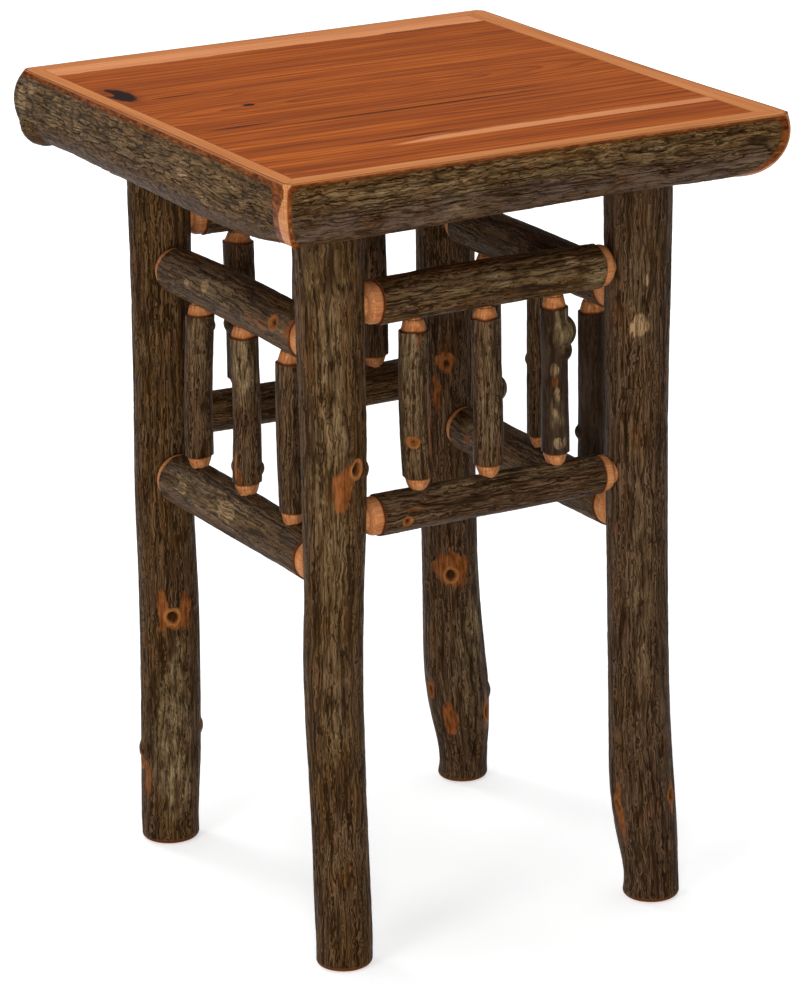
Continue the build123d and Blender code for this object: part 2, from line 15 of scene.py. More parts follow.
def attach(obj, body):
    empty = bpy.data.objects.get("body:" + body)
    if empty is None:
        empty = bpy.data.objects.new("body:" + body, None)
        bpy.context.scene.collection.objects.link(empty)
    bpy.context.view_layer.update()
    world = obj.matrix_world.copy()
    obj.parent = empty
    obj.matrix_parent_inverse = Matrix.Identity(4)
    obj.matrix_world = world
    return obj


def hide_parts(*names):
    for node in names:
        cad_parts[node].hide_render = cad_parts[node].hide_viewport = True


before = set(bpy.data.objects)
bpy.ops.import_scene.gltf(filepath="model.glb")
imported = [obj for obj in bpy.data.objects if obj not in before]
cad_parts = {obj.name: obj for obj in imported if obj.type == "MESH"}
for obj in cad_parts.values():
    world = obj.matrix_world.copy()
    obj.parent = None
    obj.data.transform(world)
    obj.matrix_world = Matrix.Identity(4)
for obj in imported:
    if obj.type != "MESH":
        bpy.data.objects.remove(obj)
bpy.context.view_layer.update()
MM = 0.001

# Sizes of the joinery that the wrapping has to know.
TOP_WIDTH = 457 * MM
TOP_DEPTH = 508 * MM
TABLE_HEIGHT = 705 * MM
BOARD_THICKNESS = 20 * MM
LIP_REACH = 40 * MM
GLUE_GAP = 0.1 * MM
STRIP_WIDTHS = {"front": 18 * MM, "right": 21 * MM, "back": 16 * MM, "left": 14 * MM}
LEG_TENON = 20 * MM
FOOT_ROUND = 4.5 * MM
RAIL_TENON = 30 * MM
RAIL_DOME = 12 * MM
RAIL_DOME_ROUND = 6.5 * MM
SPINDLE_TENON = 18 * MM
SPINDLE_CONE = 10 * MM


# ---------------------------------------------------------------- random relief


def lattice(seed, rows, columns):
    """Random values from -1 to 1 on a lattice, the same on every run."""
    return np.random.default_rng(seed).uniform(-1.0, 1.0, (rows, columns))


def cloud(seed, along, around, length, width, girth=None):
    """Smooth noise from -1 to 1 in cells of a length and a width. With a girth it closes round a pole."""
    columns = max(3, int(round(girth / width))) if girth else int(np.ptp(around) / width) + 4
    cell = girth / columns if girth else width
    u = around / cell if girth else (around - around.min()) / cell
    v = (along - along.min()) / length
    table = lattice(seed, int(v.max()) + 3, columns)
    u0, v0 = np.floor(u).astype(int), np.floor(v).astype(int)
    fu, fv = u - u0, v - v0
    fu, fv = fu * fu * (3 - 2 * fu), fv * fv * (3 - 2 * fv)
    left, right = u0 % columns, (u0 + 1) % columns
    low = table[v0, left] * (1 - fu) + table[v0, right] * fu
    high = table[v0 + 1, left] * (1 - fu) + table[v0 + 1, right] * fu
    return low * (1 - fv) + high * fv


def furrows(seed, along, around, girth, rib=2.7 * MM, run=52 * MM):
    """Interlaced furrows between lengthwise bark ridges: 0 on a ridge and 1 in the bed of a furrow."""
    sway = cloud(seed + 1, along, around, 30 * MM, 14 * MM, girth) * 1.8 * MM
    sway += cloud(seed + 9, along, around, 9 * MM, 9 * MM, girth) * 0.8 * MM
    moved = around + sway
    if girth:
        moved = np.mod(moved, girth)
    broad = cloud(seed + 2, along, moved, run, rib, girth)
    fine = cloud(seed + 3, along, moved, run * 0.5, rib * 0.55, girth)
    deep = np.exp(-(((broad + 0.30 * fine) / 0.20) ** 2))
    shallow = np.exp(-(((fine + 0.3 * broad) / 0.24) ** 2))
    return np.clip(np.maximum(deep, 0.45 * shallow), 0, 1)


def soft_step(low, high, value):
    t = np.clip((value - low) / (high - low), 0, 1)
    return t * t * (3 - 2 * t)


# ---------------------------------------------------------------- marks grown into the wood
# Knots: (along, degrees round, half length, half width, kind). Along is millimetres from the foot of
# a leg, and from the first shoulder of a rail or spindle. Degrees count as pole_axes gives them.

KNOTS = {
    "leg_front_left": [(443, -72, 8.0, 6.5, "collar"), (250, 100, 7.0, 5.5, "scar")],
    "leg_front_right": [
        (98, -60, 8.0, 5.0, "scar"),
        (90, -172, 9.0, 5.0, "scar"),
        (420, 62, 7.0, 5.5, "eye"),
    ],
    "leg_back_left": [
        (219, -109, 8.0, 7.5, "collar"),
        (76, 166, 8.0, 6.0, "scar"),
        (330, 70, 8.0, 6.5, "collar"),
    ],
    "leg_back_right": [
        (207, -118, 8.0, 7.5, "collar"),
        (410, -119, 6.0, 4.5, "scar"),
        (91, -178, 8.0, 5.0, "scar"),
        (67, -52, 9.0, 6.0, "collar"),
        (300, 60, 7.0, 6.0, "scar"),
    ],
    "rail_front_lower": [(32, 195, 4.5, 4.5, "eye")],
    "rail_left_upper": [(40, 21, 7.0, 6.5, "eye")],
    "spindle_front_1": [(41.6, -130, 5.0, 5.5, "eye")],
}
# Kinds of knot: the share of it that is hollow, how its collar shows, and the depth of the hollow.
KNOT_KINDS = {
    "collar": (0.60, 1.0, 4.0 * MM),
    "eye": (0.36, 0.55, 1.6 * MM),
    "scar": (0.50, 0.35, 2.4 * MM),
}
COLLAR_HEIGHT = 0.9 * MM
# Peeled patches round knots: (along, degrees round, half length, half width, strength).
PATCHES = {
    "leg_front_left": [(426, -103, 23, 9, 0.95), (441, -84, 9, 9, 0.8), (246, 104, 17, 7, 0.85)],
    "leg_front_right": [(88, -168, 32, 5, 0.95), (97, -58, 20, 5, 0.9), (414, 66, 16, 7, 0.85)],
    "leg_back_left": [
        (226, -128, 19, 6, 0.95),
        (226, -82, 20, 6, 0.9),
        (214, -104, 9, 15, 0.85),
        (62, -168, 22, 5, 0.9),
        (112, -36, 20, 3, 0.8),
        (336, 62, 20, 9, 0.9),
    ],
    "leg_back_right": [
        (212, -116, 19, 20, 0.95),
        (411, -122, 13, 10, 0.85),
        (382, -140, 20, 5, 0.8),
        (66, -140, 21, 9, 0.9),
        (91, -176, 14, 6, 0.8),
        (66, -52, 24, 7, 0.9),
        (294, 64, 18, 8, 0.9),
    ],
    "rail_front_lower": [(38, 163, 8, 1.5, 0.8), (192, 112, 12, 3, 0.6)],
    "rail_left_upper": [(12, 22, 10, 12, 0.8), (66, 2, 22, 6, 0.55), (40, 21, 10, 9, 0.6)],
    "rail_left_lower": [(6, 20, 8, 10, 0.7)],
    "rail_right_lower": [(229, 6, 7, 5, 0.9)],
    "spindle_front_1": [(52, -50, 40, 2.6, 0.95), (128, -100, 8, 3.0, 0.5)],
    "spindle_front_3": [(72, -124, 7, 3.5, 0.6)],
    "spindle_left_2": [(12, -150, 12, 3.0, 0.8), (26, -168, 20, 2.5, 0.8)],
}
# Pale spots, striped by the furrows: (along, degrees round, half length, half width, strength).
# All are worn spots but the long one on the lower front rail, which is a painted highlight.
PALE = {
    "leg_front_right": [(525, -117, 14, 8, 1.0), (563, -106, 7, 3, 0.7)],
    "rail_left_lower": [(220, 19, 11, 8, 0.9), (137, 22, 17, 9, 1.0)],
    "rail_left_upper": [(169, 27, 8, 7, 0.9), (201, 12, 7, 5, 0.7)],
    "rail_front_upper": [(189, 145, 8, 5, 0.7)],
    # A painted highlight: the long pale streak along the top of the lower front rail.
    "rail_front_lower": [(130, 112, 90, 6, 0.42)],
    "spindle_front_3": [
        (19, -105, 6, 6, 1.0),
        (60, -112, 9, 5, 0.6),
        (82, -126, 7, 5, 1.0),
        (46, -120, 7, 4, 0.5),
    ],
}
# Grey-olive lichen, in mottled drifts: (along, degrees round, half length, half width, strength).
LICHEN = {
    "leg_front_left": [
        (530, -118, 90, 11, 0.5),
        (478, -112, 22, 10, 0.75),
        (430, -146, 60, 7, 0.4),
        (600, -125, 30, 20, 0.35),
        (370, -120, 50, 12, 0.35),
        (260, -118, 70, 9, 0.35),
        (470, 80, 70, 14, 0.7),
    ],
    "leg_front_right": [(300, -112, 90, 12, 0.35), (560, -110, 50, 12, 0.25), (200, 80, 70, 14, 0.7)],
    "leg_back_left": [
        (176, -104, 22, 7, 1.0),
        (158, -112, 12, 8, 0.9),
        (112, -112, 46, 18, 1.0),
        (64, -104, 34, 15, 1.0),
        (130, 30, 60, 20, 0.6),
        (490, 100, 70, 13, 0.8),
    ],
    "leg_back_right": [
        (152, -74, 30, 9, 1.0),
        (142, -96, 26, 10, 0.8),
        (100, -100, 40, 14, 0.4),
        (520, 95, 60, 13, 0.8),
    ],
    "rail_front_upper": [(214, 180, 15, 13, 1.0), (110, 160, 100, 9, 0.6)],
    "rail_front_lower": [(120, 118, 100, 7, 0.5)],
    "rail_left_upper": [(27, 24, 8, 8, 1.0), (150, 20, 60, 8, 0.5)],
    "rail_left_lower": [(170, 30, 80, 12, 0.6)],
    "rail_back_upper": [(80, 30, 50, 12, 0.7)],
    "rail_right_lower": [(228, 20, 12, 14, 0.9), (90, 200, 60, 12, 0.6)],
    "spindle_front_1": [(100, -118, 50, 11, 0.65), (66, -104, 30, 9, 0.5), (20, -120, 12, 9, 0.5)],
    "spindle_front_2": [(80, -112, 66, 9, 0.3)],
    "spindle_front_3": [(119, -88, 18, 9, 0.9), (48, -112, 12, 6, 0.5)],
    "spindle_left_2": [(112, -118, 24, 9, 1.0)],
    "spindle_left_3": [(110, -118, 26, 9, 0.35)],
    "spindle_right_2": [(60, 20, 40, 9, 0.9)],
    "spindle_back_2": [(90, 80, 40, 9, 0.9)],
}
# The same on the edge logs: (along from the first mitre, down from the sawn edge, half sizes, strength).
LOG_PALE = {
    "left": [
        (12, 26, 12, 12, 1.0),
        (30, 14, 8, 6, 0.9),
        (70, 22, 10, 5, 0.7),
        (120, 30, 12, 5, 0.6),
        (210, 34, 14, 4, 0.6),
        (330, 26, 10, 5, 0.8),
        (362, 44, 9, 6, 0.9),
        (430, 30, 12, 5, 0.6),
    ],
    "front": [(150, 16, 12, 5, 0.7), (148, 40, 8, 6, 0.6), (330, 14, 12, 4, 0.5)],
}
LOG_LICHEN = {
    "left": [
        (20, 30, 34, 30, 0.8),
        (90, 22, 60, 16, 0.6),
        (190, 26, 80, 14, 0.5),
        (330, 22, 110, 12, 0.45),
    ],
    "front": [
        (120, 18, 90, 10, 0.5),
        (300, 18, 120, 9, 0.5),
        (150, 45, 30, 12, 0.5),
        (420, 30, 30, 16, 0.4),
    ],
    "right": [(120, 25, 90, 14, 0.6), (380, 30, 90, 14, 0.5)],
    "back": [(200, 25, 130, 14, 0.6)],
}
# How far past its outline a worn spot and a drift of lichen fade out, as a share of its size.
PALE_FRINGE, LICHEN_FRINGE = 1.15, 1.5


# ---------------------------------------------------------------- meshes

# Degrees from which an edge is shown sharp.
SHARP_EDGE = 62
# Length of the slabs in which a pole's middle is found, and where the rays towards it start.
SLAB = 14 * MM
RAY_START = 0.12
# A point this far inside its row's usual outline has met a socket.
SOCKET_STEP = 2.4 * MM
# Rings of a sawn end, and the size of its disc in the flat layout.
END_RINGS = (0.75, 0.5, 0.25)
END_STEP = 0.25
END_DISC = 0.024
# The flat layout of a pole: its side stands from one margin upwards, with the discs of its sawn ends
# above it.
SIDE_HEIGHT, SIDE_WIDTH = 0.90 / 1.02, 0.97
SIDE_BOTTOM, SIDE_LEFT = 0.01, 0.015
NEAR_DISC, FAR_DISC = (0.03, 0.955), (0.97, 0.955)
# The cut edge of a pole's bark: how far it wanders, over what stretch, and the dark rim beside it.
EDGE_WANDER, WANDER_FADE, RIM_WIDTH = 0.9 * MM, 3.0 * MM, 2.2 * MM
# How far the swells and pits of a pole's bark stand out, and the knife marks on a whittled end.
POLE_SWELL, POLE_PITS, PEELED_SWELL, KNIFE_MARKS = 0.20 * MM, 0.10 * MM, 0.10 * MM, 0.5 * MM
# Near a cut edge the relief is held to a share, over this stretch.
EDGE_HOLD, HOLD_STRETCH = 0.35, 2.0 * MM
# Rows of points along the bark.
LEG_ROWS, RAIL_ROWS, SPINDLE_ROWS = 330, 132, 104


def build_mesh(name, points, faces, uv, marks, material, replaced):
    """A smooth mesh of quads and triangles with its marks stored on its points."""
    mesh = bpy.data.meshes.new(name)
    mesh.from_pydata(points.tolist(), [], faces)
    mesh.polygons.foreach_set("use_smooth", np.ones(len(mesh.polygons), bool))
    for key, values in marks.items():
        if values.ndim == 2:
            layer = mesh.attributes.new(key, "FLOAT_VECTOR", "POINT")
            layer.data.foreach_set("vector", values.astype(np.float32).ravel())
        else:
            layer = mesh.attributes.new(key, "FLOAT", "POINT")
            layer.data.foreach_set("value", values.astype(np.float32))
    if uv is not None:
        layer = mesh.uv_layers.new(name="OFBake")
        layer.data.foreach_set("uv", uv.astype(np.float32).ravel())
    mesh.materials.append(material)
    mesh.set_sharp_from_angle(angle=math.radians(SHARP_EDGE))
    mesh.update()
    piece = bpy.data.objects.new(name, mesh)
    bpy.context.scene.collection.objects.link(piece)
    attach(piece, "root")
    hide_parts(*replaced)
    return piece


def node_points(node):
    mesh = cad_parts[node].data
    points = np.empty(len(mesh.vertices) * 3, np.float32)
    mesh.vertices.foreach_get("co", points)
    return points.reshape(-1, 3).astype(float)


def node_tree(node):
    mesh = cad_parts[node].data
    points = [vertex.co for vertex in mesh.vertices]
    return BVHTree.FromPolygons(points, [polygon.vertices for polygon in mesh.polygons])


def pole_axes(node):
    """Direction of a pole and the two directions across it, from which its degrees are counted."""
    if node.startswith(("leg", "spindle")):
        return np.array((0, 0, 1.0)), np.array((1.0, 0, 0)), np.array((0, 1.0, 0))
    if "front" in node or "back" in node:
        return np.array((1.0, 0, 0)), np.array((0, 1.0, 0)), np.array((0, 0, 1.0))
    return np.array((0, 1.0, 0)), np.array((-1.0, 0, 0)), np.array((0, 0, 1.0))


def centre_line(points, axis, side, up, slab):
    """Middle of a pole's outline in each slab along it, smoothed."""
    along = points @ axis
    edges = np.arange(along.min(), along.max() + slab, slab)
    middles, centres = [], []
    for low, high in zip(edges[:-1], edges[1:]):
        part = points[(along >= low) & (along <= high)]
        if len(part) > 8:
            a, b = part @ side, part @ up
            middles.append((low + high) / 2)
            centres.append(((a.min() + a.max()) / 2, (b.min() + b.max()) / 2))
    middles, centres = np.array(middles), np.array(centres)
    for _ in range(2):
        padded = np.vstack([centres[:1], centres, centres[-1:]])
        centres = (padded[:-2] + 2 * padded[1:-1] + padded[2:]) / 4
    return middles, centres


def measure(node, rows, count):
    """A pole's axes, centres, angles and radii, at places along its solid and all the way round."""
    axis, side, up = pole_axes(node)
    points = node_points(node)
    tree = node_tree(node)
    middles, centres = centre_line(points, axis, side, up, SLAB)
    across = np.stack([np.interp(rows, middles, centres[:, k]) for k in (0, 1)], 1)
    angles = np.arange(count) * 2 * math.pi / count
    radii = np.full((len(rows), count), np.nan)
    for i, row in enumerate(rows):
        origin = axis * row + side * across[i, 0] + up * across[i, 1]
        for j, angle in enumerate(angles):
            outward = side * math.cos(angle) + up * math.sin(angle)
            hit = tree.ray_cast(Vector(origin + outward * RAY_START), Vector(-outward), RAY_START)
            if hit[0] is not None:
                radii[i, j] = RAY_START - hit[3]
    return axis, side, up, across, angles, radii


def close_sockets(radii):
    """Fill what a socket takes out of a pole's outline from the bark on either side of it."""
    count = radii.shape[1]
    for row in radii:
        missed = np.isnan(row) | (row < np.nanmedian(row) - SOCKET_STEP)
        bad = missed.copy()
        for shift in (-2, -1, 1, 2):
            bad |= np.roll(missed, shift)
        good = np.nonzero(~bad)[0]
        if len(good) and bad.any():
            wrapped = np.concatenate([good - count, good, good + count])
            values = np.tile(row[good], 3)
            row[bad] = np.interp(np.nonzero(bad)[0], wrapped, values)
    return radii


def pole_rows(node, low, high):
    """Places along a pole at which it is measured, close together where its outline turns."""
    tight = 0.04 * MM
    if node.startswith("leg"):
        foot = [FOOT_ROUND * (1 - math.cos(math.radians(t))) for t in range(0, 90, 15)]
        shoulder = high - LEG_TENON
        bark = np.linspace(FOOT_ROUND, shoulder - tight, LEG_ROWS)
        tenon = [shoulder + tight, high - 10 * MM, high - 1 * MM, high - tight]
        return np.array([tight, *[low + f for f in foot[1:]], *bark, *tenon])
    if node.startswith("rail"):
        first, last = low + RAIL_TENON, high - RAIL_TENON
        arc = [RAIL_DOME_ROUND * (1 - math.sin(math.radians(t))) for t in range(90, -1, -10)]
        dome = [tight, *[a + tight for a in arc[1:]], 9 * MM, 11 * MM, RAIL_DOME - tight]
        bark = np.linspace(first + RAIL_DOME + tight, last - RAIL_DOME - tight, RAIL_ROWS)
        tenon = [tight, 1 * MM, 10 * MM, 20 * MM, RAIL_TENON - tight]
        ends = [low + t for t in tenon] + [first + d for d in dome]
        others = [last - d for d in dome[::-1]] + [high - t for t in tenon[::-1]]
        return np.array([*ends, *bark, *others])
    first, last = low + SPINDLE_TENON, high - SPINDLE_TENON
    cone = [tight, *[SPINDLE_CONE * k / 7 for k in range(1, 7)], SPINDLE_CONE - tight]
    bark = np.linspace(first + SPINDLE_CONE + tight, last - SPINDLE_CONE - tight, SPINDLE_ROWS)
    tenon = [tight, 1 * MM, 9 * MM, SPINDLE_TENON - tight]
    ends = [low + t for t in tenon] + [first + c for c in cone]
    others = [last - c for c in cone[::-1]] + [high - t for t in tenon[::-1]]
    return np.array([*ends, *bark, *others])


def bark_span(node, low, high):
    """Where the bark starts and ends along a pole, and where its along counts from."""
    if node.startswith("leg"):
        return low + 3.4 * MM, high - LEG_TENON + 1 * MM, low
    if node.startswith("rail"):
        return low + RAIL_TENON + RAIL_DOME, high - RAIL_TENON - RAIL_DOME, low + RAIL_TENON
    return (
        low + SPINDLE_TENON + SPINDLE_CONE,
        high - SPINDLE_TENON - SPINDLE_CONE,
        low + SPINDLE_TENON,
    )


def oval_share(along, degrees, radius, mark):
    """Distance from the middle of a mark as a share of its size: 1 on its outline."""
    turn = (degrees - mark[1] + 180) % 360 - 180
    return np.hypot((along - mark[0]) / mark[2], np.radians(turn) * radius / mark[3])


def covered(marks, fringe, share_of, shape):
    """How strongly marks with a soft fringe cover each point."""
    field = np.zeros(shape)
    for mark in marks:
        np.maximum(field, mark[4] * (1 - soft_step(0.55, fringe, share_of(mark))), out=field)
    return field


def knot_fields(node, share_of, ragged):
    """Rotten hearts, raised collars, hollows and bared wood of a pole's knots and patches."""
    core, collar, sunk, peeled = (np.zeros_like(ragged) for _ in range(4))
    for mark in KNOTS.get(node, []):
        share = share_of(mark) * (1 + 0.5 * (ragged - 1))
        hollow, rise, depth = KNOT_KINDS[mark[4]]
        core = np.maximum(core, 1 - soft_step(hollow - 0.12, hollow + 0.10, share))
        ring = np.exp(-(((share - 0.90) / 0.16) ** 2))
        collar = np.maximum(collar, ring * rise)
        sunk += depth * (1 - soft_step(hollow - 0.2, 0.80, share)) - COLLAR_HEIGHT * ring
        peeled = np.maximum(peeled, 1 - soft_step(1.05, 1.35, share))
    for mark in PATCHES.get(node, []):
        share = share_of(mark) * ragged
        peeled = np.maximum(peeled, mark[4] * (1 - soft_step(0.60, 1.22, share)))
    return core, collar, sunk, peeled


def tube_faces(rows, count):
    """Quads between the rows of a wrap, turned outwards for a pole."""
    faces = []
    for i in range(rows - 1):
        for j in range(count):
            low, high, step = i * count, (i + 1) * count, (j + 1) % count
            faces.append((low + j, low + step, high + step, high + j))
    return faces


def side_layout(rows, count, halves):
    """Flat layout of a pole's side: one strip, or two beside each other."""
    v = (rows - rows[0]) / (rows[-1] - rows[0])
    strip = np.minimum((v * halves).astype(int), halves - 1)
    layout = []
    for i in range(len(rows) - 1):
        low, high = ((v[m] * halves - strip[i]) * SIDE_HEIGHT + SIDE_BOTTOM for m in (i, i + 1))
        u = (np.arange(count + 1) / count * SIDE_WIDTH + SIDE_LEFT + strip[i]) / halves
        corners = ((u[:-1], low), (u[1:], low), (u[1:], high), (u[:-1], high))
        quads = np.empty((count, 4, 2))
        for corner, (edge, level) in enumerate(corners):
            quads[:, corner, 0] = edge
            quads[:, corner, 1] = level
        layout.append(quads.reshape(-1, 2))
    return layout


def close_ends(points, marks, faces, layout, angles, last_row):
    """Sawn ends, in rings round the heart, added to a pole's side."""
    count = len(angles)
    disc = np.stack([np.cos(angles), np.sin(angles)], 1) * END_DISC
    after = np.roll(disc, -1, 0)
    for start, turn, middle in ((0, 1, NEAR_DISC), (last_row * count, -1, FAR_DISC)):
        outline = slice(start, start + count)
        previous = list(range(start, start + count))
        heart = points[outline].mean(0)
        flat_heart = marks["place"][outline].mean(0)
        for scale in END_RINGS:
            ring = list(range(len(points), len(points) + count))
            points = np.vstack([points, heart + (points[outline] - heart) * scale])
            for key, values in marks.items():
                added = values[outline]
                if key == "place":
                    added = flat_heart + (added - flat_heart) * scale
                marks[key] = np.concatenate([values, added])
            for j in range(count):
                k = (j + 1) % count
                faces.append((previous[j], ring[j], ring[k], previous[k])[::turn])
            outer = scale + END_STEP
            corners = (disc * outer, disc * scale, after * scale, after * outer)
            layout.append((np.stack(corners[::turn], 1) + middle).reshape(-1, 2))
            previous = ring
        centre = len(points)
        points = np.vstack([points, heart])
        for key, values in marks.items():
            added = flat_heart[None] if key == "place" else values[start : start + 1]
            marks[key] = np.concatenate([values, added])
        for j in range(count):
            faces.append((previous[j], centre, previous[(j + 1) % count])[::turn])
        corners = (disc * END_STEP, disc * 0, after * END_STEP)
        layout.append((np.stack(corners[::turn], 1) + middle).reshape(-1, 2))
    return points


def wrap_pole(node, count, material, relief, seed):
    """Bark-on pole: furrowed bark, peeled ends, knots and patches, wrapped on the node's own solid."""
    reach = node_points(node) @ pole_axes(node)[0]
    low, high = reach.min(), reach.max()
    rows = pole_rows(node, low, high)
    axis, side, up, across, angles, radii = measure(node, rows, count)
    radii = close_sockets(radii)
    bark_low, bark_high, zero = bark_span(node, low, high)
    in_bark = (rows > bark_low) & (rows < bark_high)
    girth = 2 * math.pi * np.median(radii[in_bark])

    along = np.repeat(rows[:, None], count, 1)
    around = np.repeat(angles[None] / (2 * math.pi) * girth, len(rows), 0)
    place = (along - zero) / MM
    degrees = np.repeat(np.degrees(angles)[None], len(rows), 0)
    size = radii / MM

    # The cut edge of the bark wanders a little round each end, but not at a sawn foot.
    shift = np.zeros_like(along)
    for number, end in ((11, bark_low), (12, bark_high)):
        if number == 12 or not node.startswith("leg"):
            wander = cloud(seed + number, along * 0 + 1, around, 1, 9 * MM, girth) * EDGE_WANDER
            shift += np.exp(-(((along - end) / WANDER_FADE) ** 2)) * wander

    barked = np.repeat(in_bark[:, None], count, 1).astype(float)
    edge_gap = np.minimum(along - bark_low, bark_high - along)
    rim = np.where(edge_gap <= 0, np.exp(-((edge_gap / RIM_WIDTH) ** 2)), 0.0)
    furrow = furrows(seed, along, around, girth)
    swell = cloud(seed + 5, along, around, 55 * MM, 22 * MM, girth)
    pitted = cloud(seed + 6, along, around, 7 * MM, 5 * MM, girth)
    ragged = 1 + 0.28 * cloud(seed + 7, along, around, 9 * MM, 4 * MM, girth)

    def share_of(mark):
        return oval_share(place, degrees, size, mark)

    def ragged_share_of(mark):
        return share_of(mark) * ragged

    core, collar, sunk, peeled = knot_fields(node, share_of, ragged)
    pale = covered(PALE.get(node, []), PALE_FRINGE, ragged_share_of, along.shape)
    mossy = covered(LICHEN.get(node, []), LICHEN_FRINGE, ragged_share_of, along.shape)

    skin = barked * (1 - peeled)
    inward = skin * (relief * furrow - POLE_SWELL * swell - POLE_PITS * pitted)
    inward += barked * peeled * (0.70 * relief + PEELED_SWELL * swell) + barked * sunk
    inward *= EDGE_HOLD + (1 - EDGE_HOLD) * soft_step(0, HOLD_STRETCH, np.abs(edge_gap))
    if node.startswith("spindle"):
        cone_share = np.clip(-edge_gap / SPINDLE_CONE, 0, 1)
        whittled = cloud(seed + 8, along, around, 9 * MM, 7 * MM, girth)
        cuts = KNIFE_MARKS * (whittled - 0.4) * np.sin(math.pi * cone_share)
        inward += np.where(edge_gap < 0, cuts, 0)
    if node.startswith("leg"):
        inward = np.where(rows[:, None] < FOOT_ROUND, inward * (along / FOOT_ROUND), inward)
    shown = radii - inward

    outward = side * np.cos(angles)[:, None] + up * np.sin(angles)[:, None]
    middle = axis * rows[:, None] + side * across[:, :1] + up * across[:, 1:]
    points = middle[:, None] + outward[None] * shown[..., None] + axis * shift[..., None]
    flat = np.stack([shown * np.cos(angles), shown * np.sin(angles), along - zero], -1)
    fields = {"barked": barked, "peeled": peeled, "rim": rim, "furrow": furrow}
    fields.update({"core": core, "collar": collar, "pale": pale, "mossy": mossy})
    marks = {"place": flat.reshape(-1, 3), **{key: field.ravel() for key, field in fields.items()}}
    faces = tube_faces(len(rows), count)
    layout = side_layout(rows, count, 2 if node.startswith("leg") else 1)
    points = close_ends(points.reshape(-1, 3), marks, faces, layout, angles, len(rows) - 1)
    return build_mesh(
        "bark_" + node, points, faces, np.concatenate(layout), marks, material, [node]
    )


# ---------------------------------------------------------------- edge logs

# Peeled corners: for each log and corner, how far the bare wood and then the brown inner bark reach
# from the mitre, in millimetres.
PEELS = {
    ("left", 0): (0.0, 1.5),
    ("left", 1): (16.0, 23.0),
    ("front", 0): (0.4, 4.8),
    ("front", 1): (4.0, 12.0),
    ("right", 0): (9.0, 17.0),
    ("right", 1): (7.0, 13.0),
    ("back", 0): (6.0, 13.0),
    ("back", 1): (2.0, 7.0),
}
# How those two lines bend: millimetres down from the sawn edge, then what is added to each reach.
PEEL_BENDS = {
    ("left", 1): ((0, 10, 26, 55, 80), (-12.0, -10.5, 0.0, -1.0, -6.0), (0.0, 0.0, 1.5, 2.0, 4.0)),
    ("front", 0): ((0, 48, 64, 78), (0.0, 0.0, 0.5, 1.0), (0.0, 0.0, 3.0, 11.0)),
    ("front", 1): ((0, 36, 54, 67, 82), (0.0, 0.0, 1.0, 3.0, 6.0), (0.0, 0.0, 4.0, 13.0, 34.0)),
}
# Width of the brown inner bark bared along the sawn edge, in millimetres.
LIP_BANDS = {"front": 3.0, "right": 2.6, "back": 2.6, "left": 5.0}
LOG_ROWS = {"front": 240, "right": 260, "back": 240, "left": 260}
LOG_BARK_STEPS = 140
# Close rows at the mitres: how many, and the share of the log that they take at each end.
MITRE_ROWS, MITRE_SHARE = 12, 0.035
# The bark is cast from a star point inside the wood: in strip widths across, and down.
STAR_ACROSS, STAR_HEIGHT = 0.62, -32 * MM
# A row that leaves the usual outline by more than this has met a screw bore.
BORE_STEP = 1.2 * MM
# The casts start this little off the sawn surfaces.
SKIM = 0.05 * MM
# Half widths of the soft edges of bare wood and of bark, and the places of points that have none, in
# millimetres.
WOOD_EDGE, BARK_EDGE = 0.4 * MM, 0.6 * MM
FAR_OUTSIDE, FAR_FROM_LIP = -9.0, 99.0
# How deep the swells and pits of a log's bark go, and the step down to bared wood.
LOG_SWELL, LOG_PITS, BARE_STEP = 0.35 * MM, 0.2 * MM, 1.0 * MM
# The relief fades out this near the sawn edge, and over this stretch at a mitre.
EDGE_FADE, MITRE_FADE = 4 * MM, (-2 * MM, 6 * MM)


def side_frame(name):
    """A log's first outer corner, the way in under the top, the way along, its length and neighbours."""
    half_w, half_d = TOP_WIDTH / 2, TOP_DEPTH / 2
    return {
        "front": ((-half_w, -half_d), (0, 1), (1, 0), TOP_WIDTH, "left", "right"),
        "right": ((half_w, -half_d), (-1, 0), (0, 1), TOP_DEPTH, "front", "back"),
        "back": ((half_w, half_d), (0, -1), (-1, 0), TOP_WIDTH, "right", "left"),
        "left": ((-half_w, half_d), (1, 0), (0, -1), TOP_DEPTH, "back", "front"),
    }[name]


def rounded(across, down, radius=8 * MM):
    """How far inside a corner with a rounded tip a point lies, from its distances to the two sides."""
    inside = np.minimum(across, down)
    tip = radius - np.hypot(radius - across, radius - down)
    return np.where((across < radius) & (down < radius), np.minimum(tip, inside), inside)


def log_outlines(cast, shares, strip, star):
    """Outline of a log at each share of its length: flat, rabbet and underside, then the bark."""
    under = -BOARD_THICKNESS
    outline = []
    for share in shares:
        edge = strip * 0.8 - (cast(share, strip * 0.8, -SKIM, -1, 0) or strip * 0.8)
        drop = cast(share, LIP_REACH - SKIM, under - 1 * MM, 0, -1) or 30 * MM
        bottom = under - 1 * MM - drop
        points = [(edge + (strip - edge) * k / 8, 0.0) for k in range(9)]
        points += [(strip, under * k / 3) for k in (1, 2, 3)]
        points += [(strip + (LIP_REACH - strip) * k / 4, under) for k in (1, 2, 3, 4)]
        points += [(LIP_REACH, under + (bottom - under) * k / 4) for k in (1, 2, 3, 4)]
        begin = math.atan2(bottom - star[1], LIP_REACH - star[0])
        end = math.atan2(-star[1], edge - star[0]) - 2 * math.pi
        for k in range(1, LOG_BARK_STEPS):
            angle = begin + (end - begin) * k / LOG_BARK_STEPS
            reach = cast(share, *star, math.cos(angle), math.sin(angle))
            if reach is None:
                reach = math.hypot(points[-1][0] - star[0], points[-1][1] - star[1])
            points.append((star[0] + reach * math.cos(angle), star[1] + reach * math.sin(angle)))
        outline.append(points)
    return np.array(outline)


